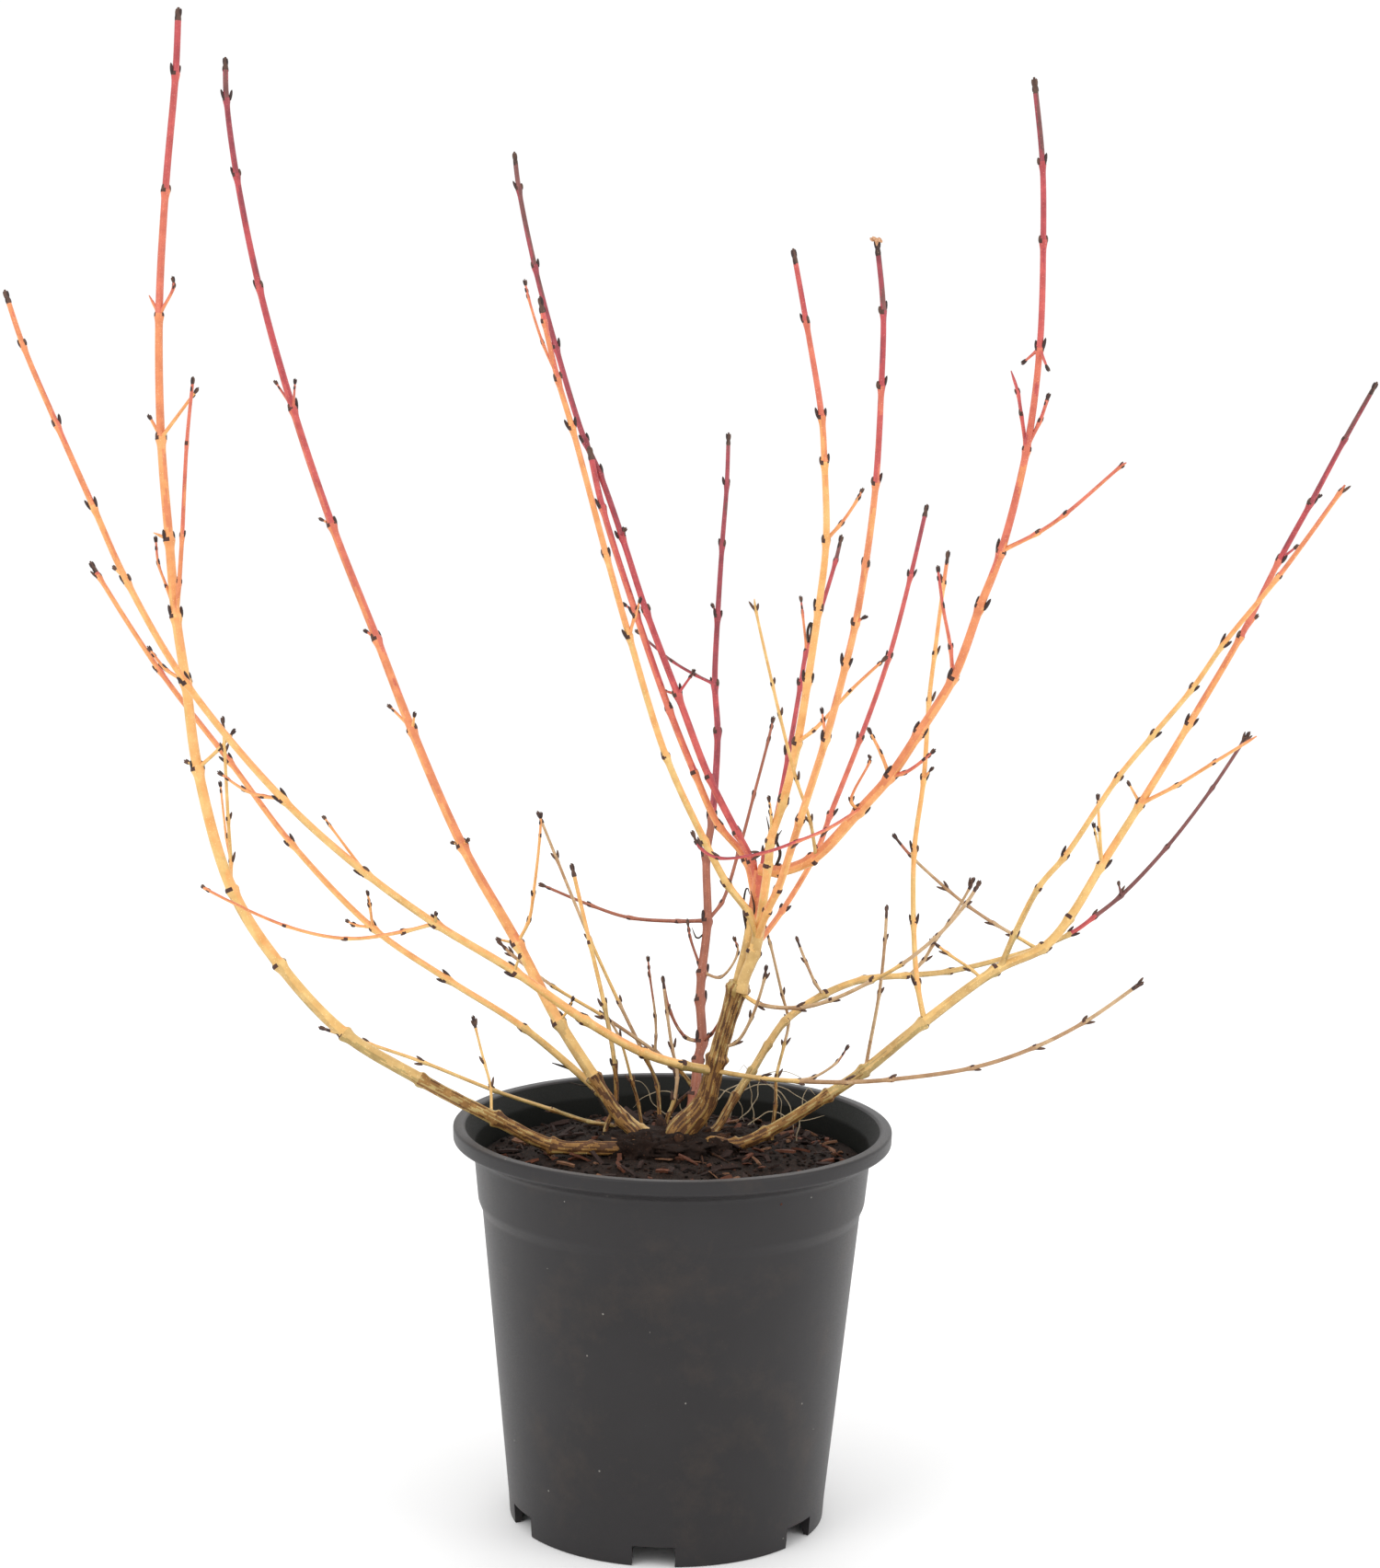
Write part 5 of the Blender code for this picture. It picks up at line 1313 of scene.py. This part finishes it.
grow("red_spire",
     [(36.4, -55), (33, -41), (25, -25.5), (10, 4.5), (-6.5, 48), (-24, 94.5), (-37, 134.5),
      (-49, 168.5), (-57.5, 187.5), (-73, 238), (-84.5, 282), (-93, 323.5), (-95.5, 343.5)],
     (4, 30, 70, 110), (4.2, 3.8, 3.4, 3.1, 2.7), (7.4, 8.8, 8.8, 9.4, 10.2, 10.4, 10.6, 12.0),
     parent="left_fork", boughs=[("bough", 4)],
     twigs=[(4, 10, 1.8, (-15, 51)), (4, -8, 1.6, (1, 59.5), (2.5, 62.5)),
            (6, -6, 1.6, (-34.5, 139.5))])
grow("orange_spire",
     [(34.5, -63), (30, -40.5), (15, -21.5), (2.5, 6), (-11.5, 41), (-29.5, 93), (-47.5, 150),
      (-55, 183.5)],
     (12, 20, 40, 60), (4.0, 3.8, 3.4), (6.0, 6.6, 6.4, 7.6, 7.8, 8.0, 9.2), parent="left_fork",
     boughs=[("bough", 5)],
     twigs=[(5, 8, 1.8, (-37, 98.5))])
grow("slim_spire",
     [(37, -52), (41, -38), (46, -21.5), (53.5, 16), (60, 53.5), (63.5, 73), (71.5, 96),
      (79.5, 122.5), (82.5, 135.5)],
     (10, 40, 80), (3.0, 2.7, 2.2), (7.6, 6.8, 9.0, 9.6, 9.4, 7.6, 9.4, 11.6), parent="left_fork",
     twigs=[(5, 8, 1.6, (61, 94.5), (60, 102.5))])
grow("front_spire",
     [(36.4, -83), (31.5, -69.5), (20, -54), (7.5, -30), (-13, 15), (-33, 80), (-45.5, 124.5),
      (-64, 193.5), (-72, 220.5), (-79.5, 253), (-81.5, 265)],
     (-10, -60, -110, -140), (4.2, 3.6, 3.2, 2.6), (4.0, 4.2, 4.2, 4.8, 5.8, 6.4, 7.0, 8.6),
     parent="right_fork", boughs=[("bough", 5)],
     twigs=[(5, -8, 1.8, (-30, 91), (-26.5, 102)),
            (8, 14, 1.6, (-80, 239.5), (-88, 265), (-90, 274.5))])
grow("centre_spire",
     [(39.5, -76), (42.5, -44), (44, -30), (51, -8.5), (58.5, 23), (64, 56), (70, 96), (74, 132.5),
      (73, 176), (71.5, 200), (63, 252), (56, 291)],
     (-4, -30, -60, -80), (4.8, 4.6, 3.8, 3.3, 2.7), (4.2, 4.2, 4.6, 4.8, 5.0, 5.2, 7.4, 9.4),
     parent="right_fork", boughs=[("bough", 2)],
     twigs=[(2, -10, 1.8, (44, -16.5), (42.5, -6)),
            (4, -24, 2.2, (68, 30), (87.5, 51), (107.5, 69.5)),
            (7, 14, 2.0, (82.5, 142), (91.5, 155.5), (94, 161))])
grow("forward_spire",
     [(36.6, -84), (42, -69), (48, -56.5), (60, -19), (74, 25), (85, 66), (90, 87.5), (95.5, 119.5),
      (101, 163.5), (104, 216), (105, 257.5), (101.5, 296)],
     (-10, -80, -150, -190), (4.4, 4.1, 3.6, 3.1, 2.6), (5.4, 5.6, 5.8, 6.2, 6.8, 7.0, 9.8, 11.6),
     parent="right_fork", boughs=[("bough", 4)],
     twigs=[(4, 8, 1.6, (72.5, 33.5), (71.5, 42)), (6, -6, 1.6, (96.5, 91.5))])
grow("back_spire",
     [(38.5, -90), (51, -67.5), (69, -36.5), (76.5, -16), (92.5, 24.5), (108.5, 70), (120, 113.5),
      (129, 152)],
     (0, 86, 154, 190), (3.4, 3.1, 2.9, 2.5), (5.6, 5.4, 6.4, 7.0, 7.8, 8.2, 9.8),
     parent="right_fork")
grow("pale_shoot",
     [(67.5, -38), (65, -19), (57.5, 3.5), (48.5, 38.5), (44.5, 55.5), (35.5, 96), (35, 100.5)],
     (-16, -50, -90), (2.0, 1.8, 1.4), (3.4, 4.4, 4.0, 4.8, 4.4, 4.2), parent="right_arch")
grow("cross_twig",
     [(92.5, -12), (73.5, -25), (57.5, -31.5), (37.5, -38), (14.5, -40), (5, -34), (1, -25)],
     (-28, -60, -50), (2.1, 1.5), (7.0, 9.2, 10.4), parent="right_arch")
join_limbs("middle")


# The canes that lean and arch to the right are straw yellow to khaki low down, with coral or
# maroon tips, and carry many fine straight shoots.
grow("right_cane",
     [(25, -196), (42.5, -189), (75, -169), (95, -155.5), (126.5, -130), (167, -100.5),
      (192.5, -88.5), (206.5, -72.5), (223.5, -44.5), (245, -10.5), (271.5, 33), (299.5, 80.5),
      (320.5, 122), (337, 152), (356, 187.5), (373.5, 218.5)],
     (-8, 10, 40, 30, -14), (6.8, 6.3, 5.8, 5.3, 4.5, 3.8, 3.4, 3.0, 2.4),
     (0.5, 1.8, 2.6, 3.2, 3.8, 6.0, 9.8, 11.4), foot=(14, -8), boughs=[("low", 5), ("rise", 8)],
     twigs=[(8, -10, 2.0, (222.5, -24), (221.5, -5)), (8, 14, 1.8, (219, -20.5)),
            (9, -20, 2.4, (265, -0.5), (284.5, 11.5), (308, 26)), (9, 8, 1.8, (237.5, 2)),
            (11, 6, 1.8, (309, 92.5)), (12, 6, 1.8, (331, 130)), (13, 6, 1.6, (343.5, 157.5))])
grow("outer_cane",
     [(168, -99), (176.5, -81.5), (190, -55.5), (204, -39), (233, 4), (252.5, 27.5), (273.5, 52.5),
      (290, 76), (320.5, 113.5), (354, 159.5), (356, 162.5)],
     (20, -20, -60, -80), (3.6, 3.1, 2.8, 2.6, 2.3), (2.6, 3.2, 4.2, 4.0, 4.2, 4.2, 6.6, 7.0),
     parent="right_cane", boughs=[("bough", 3)])
grow("low_right",
     [(12.5, -189), (25, -169), (34, -155.5), (42.5, -141.5), (52.5, -128), (73.5, -114),
      (95, -106), (118, -104), (142.5, -101.5), (189, -89), (206.5, -81.5), (220, -72), (235, -60),
      (259, -34.5), (284, -2), (301, 23.5), (304.5, 28.5)],
     (16, 70, 110, 130, 150), (5.0, 4.4, 4.2, 3.4, 2.8, 2.5, 2.2, 2.0),
     (0.9, 2.0, 2.4, 2.6, 2.6, 2.4, 2.4, 12.0, 12.0, 12.0, 11.4), foot=(9, 11),
     boughs=[("bough", 5), ("run", 10)],
     twigs=[(12, -6, 1.6, (232.5, -52.5))])
grow("upright_shoot",
     [(126.5, -128), (123.5, -108), (121.5, -75), (122, -35), (127, 2.5), (130, 46), (133, 71),
      (138, 109.5), (140.5, 127)],
     (14, 30, 60), (3.1, 2.7, 2.1), (3.6, 4.0, 4.0, 4.2, 4.4, 4.2, 4.8, 6.6), parent="right_cane",
     twigs=[(4, -6, 1.6, (132.5, 9.5))])
grow("short_shoot",
     [(94, -154), (97, -145.5), (103, -113), (106, -84.5), (107, -65.5)],
     (8, -40), (2.1, 1.7), (15.6, 15.4, 16), parent="right_cane")
grow("little_shoot",
     [(157.5, -104), (152.5, -100.5), (140, -92), (130, -84)],
     (20, 30), (1.9, 1.5), (3.2, 3.8), parent="right_cane")
grow("hook_shoot",
     [(72.5, -114), (68, -108), (62.5, -95.5), (57.5, -82.5)],
     (60, 80), (1.9, 1.5), (15.5, 16), parent="low_right")
grow("reaching_shoot",
     [(187.5, -88), (176, -82), (164, -75), (150, -65.5), (139.5, -57), (120, -39), (110, -27)],
     (118, 100), (2.2, 1.7), (3.0, 15.6, 15, 15.4, 17), parent="low_right")
grow("curved_shoot",
     [(119, -103), (127.5, -95), (132.5, -86.5), (141.5, -74), (152.5, -55.5), (154.5, -50.5)],
     (96, 70), (2.1, 1.6), (16, 15.6, 16, 15), parent="low_right")
grow("long_whip",
     [(18, -157), (40, -160), (60, -161.5), (85, -162), (110, -160.5), (154.5, -154), (187.5, -143),
      (215, -129), (244, -109), (246.5, -107.5)],
     (-6, -70, -130, -180), (2.7, 2.3, 1.9), (2.4, 2.6, 15, 15.4, 15, 15.4, 16, 15.6),
     parent="trunk",
     twigs=[(2, -8, 1.6, (68, -159), (79.5, -151.5), (86.5, -141.5))])
grow("curved_whip",
     [(28, -113), (37.5, -119.5), (59.5, -121.5), (77.5, -117), (99, -107), (115, -98), (135, -82),
      (150, -65), (158, -52.5)],
     (-6, -60, -120), (2.4, 1.9), (3.0, 15.6, 16, 3.2, 16, 15.6), parent="trunk")
join_limbs("right")


# Thin young shoots stand round the foot of the clump, straw coloured with dark pointed tips.
grow("left_sucker",
     [(-18, -163), (-23.5, -150), (-38.5, -119), (-54.5, -84), (-72.5, -40.5), (-83, -14.5)],
     (54, 90), (2.4, 1.7), (1.0, 15.5, 3.2, 15.6, 16), foot=(-14, 44))
grow("outer_sucker",
     [(-40.5, -171.5), (-41, -152.5), (-46.5, -120.5), (-54.5, -86), (-64.5, -43)],
     (26, 60), (2.8, 2.2), (0.6, 1.4, 2.6, 3.4, 3.8, 4.2), foot=(-44, 20))
grow("fine_sucker",
     [(-28.5, -172), (-31.5, -161.5), (-38.5, -137.5), (-47, -123)],
     (40, 44), (1.8, 1.5), (1.0, 2.6, 15.8), foot=(-24, 36))
grow("right_sucker",
     [(46.5, -174), (47, -159), (51, -142.5), (53.5, -129), (50, -114), (43.5, -86.5),
      (40.5, -76.5)],
     (22, 60, 46), (2.0, 1.6), (1.0, 2.0, 15.5, 15.6, 16, 15.6), foot=(49, 18))
grow("curled_sucker",
     [(-13, -184), (-11, -178), (-8.5, -171), (-7, -158), (-10, -142), (-12.5, -124), (-15, -104)],
     (28, 46), (2.2, 1.6), (1.0, 2.0, 15.6, 16, 15.5), foot=(-11, 27),
     twigs=[(1, 4, 2.2, (-5, -171.5), (3, -164.5))])
grow("crossing_sucker",
     [(0, -162.5), (-7.5, -154), (-19.5, -145), (-47.5, -126), (-75, -109.5), (-97, -92.5),
      (-105, -84.5)],
     (44, 60, 76), (2.4, 1.8), (1.0, 15, 15.4, 3.0, 15.8, 15.4), foot=(12, 42),
     twigs=[(2, -6, 1.6, (-18.5, -136.5), (-19, -125), (-22, -103), (-23, -93))])
grow("trunk_shoot",
     [(22, -144), (25, -140.5), (33.5, -127), (40.5, -105.5), (41.5, -98)],
     (-4, -30), (2.0, 1.6), (16, 15.6), parent="trunk")
join_limbs("sucker")


# The crown that the stems rise from is a knobbly stool of old cut stubs and fibres on dark clods
# of peat. Fine pale roots stand out of the soil, and a dead grey twig leans at its left.
BACK_REACH = 0.078
SOIL_SKIN = 0.001
CLODS = [
    ((-0.0110, 0.0010), (0.0380, 0.0330, 0.0092)), ((-0.0250, -0.0200), (0.0150, 0.0110, 0.0125)),
    ((0.0190, -0.0110), (0.0110, 0.0085, 0.0085)), ((-0.0330, 0.0270), (0.0120, 0.0090, 0.0050)),
    ((-0.0040, -0.0120), (0.0180, 0.0120, 0.0100)), ((0.0330, 0.0220), (0.0150, 0.0130, 0.0055)),
]
CLOD_LUMPS = 0.28
CLOD_CRACKS = 0.06
STUBS = 9
STUB_SPREAD = 2.4
STUB_REACH = (0.006, 0.024)
STUB_LENGTH = (0.006, 0.012)
STUB_GIRTH = (3.5, 7.5)
FIBRES = 26
FIBRE_SPREAD = 0.52
FIBRE_START = 0.010
FIBRE_REACH = (0.014, 0.045)
FIBRE_BEND = 0.004
ROOT_SPOTS = [
    [(20, -178), (31, -166), (44, -163), (58, -168), (66, -176)],
    [(24, -182), (34, -172), (41, -158), (54, -156), (63, -162)],
    [(30, -184), (45, -178), (60, -183), (72, -180)],
    [(12, -176), (22, -164), (36, -160), (47, -170), (49, -180)],
    [(44, -163), (52, -172), (57, -184)],
    [(-2, -178), (-12, -166), (-22, -168), (-30, -176)],
    [(-6, -182), (-18, -174), (-26, -162), (-33, -160)],
    [(2, -172), (14, -166), (24, -170), (30, -178)],
    [(58, -168), (64, -164), (70, -168)],
    [(36, -160), (30, -152), (24, -156)],
]
ROOT_DEPTH = 70.0
ROOT_WAVER = 0.0004
DEAD_SPOTS = [(-42.5, -178), (-50, -170), (-55, -161), (-65, -155), (-75, -151.5)]


def on_ground(across, up):
    """The point of the soil that shows at this place on the front drawing, kept inside the pot."""
    ray = FORWARD * BOARD + RIGHT * (across * MM) + UP * (up * MM)
    spot = EYE + ray * ((SOIL_TOP - EYE.z) / ray.z)
    out = math.hypot(spot.x - POT_CENTRE.x, spot.y)
    if out > BACK_REACH:
        beside = min(BACK_REACH, abs(spot.x - POT_CENTRE.x))
        spot = Vector(seen(across, up, math.sqrt(BACK_REACH ** 2 - beside ** 2) / MM))
        out = BACK_REACH
    return np.array([spot.x, spot.y, soil_height(out)])


mound = bmesh.new()
for number, (middle, size) in enumerate(CLODS):
    clod = bmesh.ops.create_icosphere(mound, subdivisions=5, radius=1.0)["verts"]
    for corner in clod:
        place = corner.co * 2.3 + Vector((4.0 + number, 1.0, 7.0))
        rough = noise.fractal(place, 0.8, 2.1, 5)
        corner.co *= 1.0 + CLOD_LUMPS * rough + CLOD_CRACKS * noise.cell(corner.co * 4.5)
    bmesh.ops.scale(mound, vec=size, verts=clod)
    bmesh.ops.translate(mound, vec=(*middle, SOIL_TOP - SOIL_SKIN), verts=clod)
mound_mesh = bpy.data.meshes.new("stool_mound")
mound.to_mesh(mound_mesh)
mound.free()
mound_mesh.materials.append(finish_of(
    "stool_peat", "2C1C14", "170F0B", "523626", 0.0012, specular=0.22, patch_scale=160.0,
    grain_scale=800.0, speck_scale=380.0, speck_size=0.16, dull=0.98, gloss=0.82))
stand("stool_mound", mound_mesh, [], sharp=180.0)

chance = random.Random("stool")
stool = []
for number in range(STUBS):
    turn = number * STUB_SPREAD + chance.uniform(-0.4, 0.4)
    reach = chance.uniform(*STUB_REACH)
    foot = np.array([-0.002 + reach * math.cos(turn), 0.008 + 0.8 * reach * math.sin(turn),
                     SOIL_TOP + SOIL_SKIN])
    lean = np.array([math.cos(turn) * 0.9, math.sin(turn) * 0.9, chance.uniform(0.3, 1.0)])
    length = chance.uniform(*STUB_LENGTH)
    width = chance.uniform(*STUB_GIRTH)
    knee = foot + lean * length * 0.6 + np.array([0.0, 0.0, 0.002])
    stub = smooth([foot, knee, foot + lean * length])
    radii = tapered(stub, (width * 1.2, width, width * 0.7), tip=False)
    stool.append(limb(f"stub {number}", stub, radii, (chance.uniform(-0.2, 0.5),),
                      sides=18, pitch=0.0008))
for number in range(FIBRES):
    turn = number * FIBRE_SPREAD + chance.uniform(-0.3, 0.3)
    reach = chance.uniform(*FIBRE_REACH)
    foot = np.array([0.002 + FIBRE_START * math.cos(turn), 0.008 + FIBRE_START * math.sin(turn),
                     SOIL_TOP + SOIL_SKIN])
    way = np.array([math.cos(turn), math.sin(turn), 0.0])
    far = foot + way * reach
    far[2] = soil_height(math.hypot(far[0] - POT_CENTRE.x, far[1])) + 0.0004
    bend = [chance.uniform(-FIBRE_BEND, FIBRE_BEND) for _ in "xy"] + [chance.uniform(0.0, 0.003)]
    fibre = smooth([foot, foot + way * reach * 0.5 + np.array(bend), far])
    radii = tapered(fibre, (chance.uniform(2.0, 3.6), 1.0))
    stool.append(limb(f"fibre {number}", fibre, radii, (chance.uniform(-0.4, 0.5),),
                      sides=8, pitch=0.0015))
stool_skins = [
    finish_of(name, *colours, 0.0006, specular=0.25, patch_scale=240.0, grain_scale=1200.0,
              speck_scale=500.0, speck_size=0.2, dull=0.95, gloss=0.75)
    for name, *colours in (("old_stool", "38241A", "1D120D", "62442F"),
                           ("worn_stool", "553623", "2E1D13", "805C3C"))]
stand("stool", tube_mesh("stool", stool, stool_skins), [], sharp=60.0)

chance = random.Random("pale roots")
roots = []
for number, spots in enumerate(ROOT_SPOTS):
    lowest = min(range(len(spots)), key=lambda k: spots[k][1])
    ground = on_ground(*spots[lowest])
    depth = min(ground[1] / MM, ROOT_DEPTH)
    arch = [seen(*spot, depth - 1.5 * abs(k - lowest)) for k, spot in enumerate(spots)]
    for point in arch:
        point += np.array([chance.uniform(-0.002, 0.002), chance.uniform(-0.006, 0.002), 0.0])
        point[2] = max(point[2], SOIL_TOP + SOIL_SKIN)
    arch[lowest] = ground - np.array([0.0, 0.0, SOIL_SKIN])
    root = smooth(arch)
    bends = np.arange(len(root))
    waver = [np.sin(bends * 1.1 + number), np.cos(bends * 0.8), np.zeros(len(root))]
    root += ROOT_WAVER * np.stack(waver, axis=1)
    radii = tapered(root, (chance.uniform(0.6, 0.9), 0.35))
    roots.append(limb(f"root {number}", root, radii, (5.0,), sides=6, pitch=0.002))
root_skin = finish_of("pale_root", "CDBFA4", "A08C6C", "E6DCC8", 0.0001, specular=0.3,
                      patch_scale=300.0, dull=0.8, gloss=0.6)
stand("pale_roots", tube_mesh("pale_roots", roots, [root_skin]), [], sharp=60.0)

foot = on_ground(*DEAD_SPOTS[0])
depth = foot[1] / MM
dead = smooth([foot - np.array([0.0, 0.0, SOIL_SKIN])]
              + [seen(*spot, depth + 2.0 * k) for k, spot in enumerate(DEAD_SPOTS) if k])
fork = smooth([dead[len(dead) // 2], seen(-57, -164, depth + 8), seen(-66, -162, depth + 12)])
dead_wood = [
    limb("dead twig", dead, tapered(dead, (1.9, 1.6, 1.3)), (3.0,), sides=8, pitch=0.0015),
    limb("dead fork", fork, tapered(fork, (1.2, 0.8)), (3.0,), sides=8, pitch=0.0015),
]
dead_skin = finish_of("dead_wood", "3E3630", "241E1B", "6A6058", 0.0003, specular=0.25,
                      patch_scale=300.0, dull=0.95, gloss=0.75)
stand("dead_twig", tube_mesh("dead_twig", dead_wood, [dead_skin]), [], sharp=60.0)


# Withered leaf stalks and curled scraps cling on where the upper canes fork, and one cane still
# carries the dry, straw-coloured rays of last year's flower head.
SCRAPS = [
    ("right_arch", [(40, -46), (41, -38), (43, -26), (41.5, -17.5)], 1.0, 0.8),
    ("right_arch", [(46, -47), (49, -38), (47, -30), (50, -25)], 1.7, 0.9),
    ("left_fork", [(30, -84), (29, -66), (31, -56), (32.5, -60)], 1.4, 0.8),
    ("left_fork", [(33, -78), (35, -68), (33, -58)], 1.0, 0.7),
    ("slim_spire", [(63.5, 76), (64, 84), (66, 88), (65, 76)], 1.5, 0.8),
    ("middle", [(9, -80), (4, -84), (1, -78)], 1.0, 0.7),
]
RAYS = 16
RAY_SPREAD = 2.4
RAY_LENGTH = (0.0022, 0.0036)
RAY_DROOP = 0.0015
RAY_ROOT = 0.003
scraps = []
for number, (carrier, spots, wide, thin) in enumerate(SCRAPS):
    root = on_limb(carrier, spots[0])
    depth = root[1] / MM - 3.0
    curl = smooth([root] + [seen(*spot, depth - 1.5 * k) for k, spot in enumerate(spots[1:])])
    radii = tapered(curl, (wide, wide * 1.1, thin))
    scraps.append(limb(f"scrap {number}", curl, radii, (3.0,), sides=7))
withered = finish_of("withered", "4B3D33", "2C2420", "7E6C5C", 0.0003, specular=0.25,
                     patch_scale=400.0, dull=0.95, gloss=0.7)
scrap_mesh = tube_mesh("withered_stalks", scraps, [withered])
stand("withered_stalks", scrap_mesh, [], sharp=60.0)

crown = standing["forward_spire"][0][-1]
rays = []
chance = random.Random("flower head")
for number in range(RAYS):
    turn = number * RAY_SPREAD
    spread = chance.uniform(0.5, 1.0)
    way = np.array([math.cos(turn) * spread, math.sin(turn) * spread, chance.uniform(0.1, 0.7)])
    tip = crown + way * chance.uniform(*RAY_LENGTH) - np.array([0.0, 0.0, RAY_DROOP])
    middle = (crown + tip) / 2 + np.array([0.0, 0.0, 0.0004])
    ray = smooth([crown - np.array([0.0, 0.0, RAY_ROOT]), middle, tip])
    radii = tapered(ray, (0.5, 0.6, 1.5), tip=False)
    rays.append(limb(f"ray {number}", ray, radii, (5.0,), sides=6, pitch=0.0008))
dry_rays = finish_of("dry_rays", "DDB08A", "B4825C", "EBCDB0", 0.0002, specular=0.3,
                     patch_scale=500.0, dull=0.9, gloss=0.7)
ray_mesh = tube_mesh("dry_flower_head", rays, [dry_rays])
stand("dry_flower_head", ray_mesh, [], sharp=60.0)


# The buds are pointed and dark, in pairs pressed against the joints, and longer at the tips.
BUD_PROFILE = [(0.0, 0.0), (0.40, 0.02), (0.5, 0.30), (0.46, 0.58), (0.30, 0.84), (0.0, 1.0)]
BUD_SIDES = 7
bud = bmesh.new()
rim = [bud.verts.new((width, 0.0, height)) for width, height in BUD_PROFILE]
edges = [bud.edges.new(pair) for pair in zip(rim, rim[1:])]
bmesh.ops.spin(bud, geom=rim + edges, cent=(0.0, 0.0, 0.0), axis=(0.0, 0.0, 1.0),
               angle=math.tau, steps=BUD_SIDES, use_merge=True)
bmesh.ops.remove_doubles(bud, verts=bud.verts, dist=0.0001)
bmesh.ops.recalc_face_normals(bud, faces=bud.faces)
bud.verts.index_update()
bud_skins = [
    finish_of(name, *colours, 0.0001, specular=0.4, patch_scale=500.0, grain_scale=2500.0,
              speck_scale=900.0, dull=0.75, gloss=0.5)
    for name, *colours in (("dark_bud", "432E2A", "281D1C", "745A4E"),
                           ("brown_bud", "684C3C", "402D26", "8E7260"))]
bud_places = [place for place, _ in buds]
bud_kinds = np.array([kind for _, kind in buds])
bud_mesh = joined_copies("buds", bud, bud_places, bud_skins, bud_kinds)
stand("buds", bud_mesh, [], sharp=180.0)
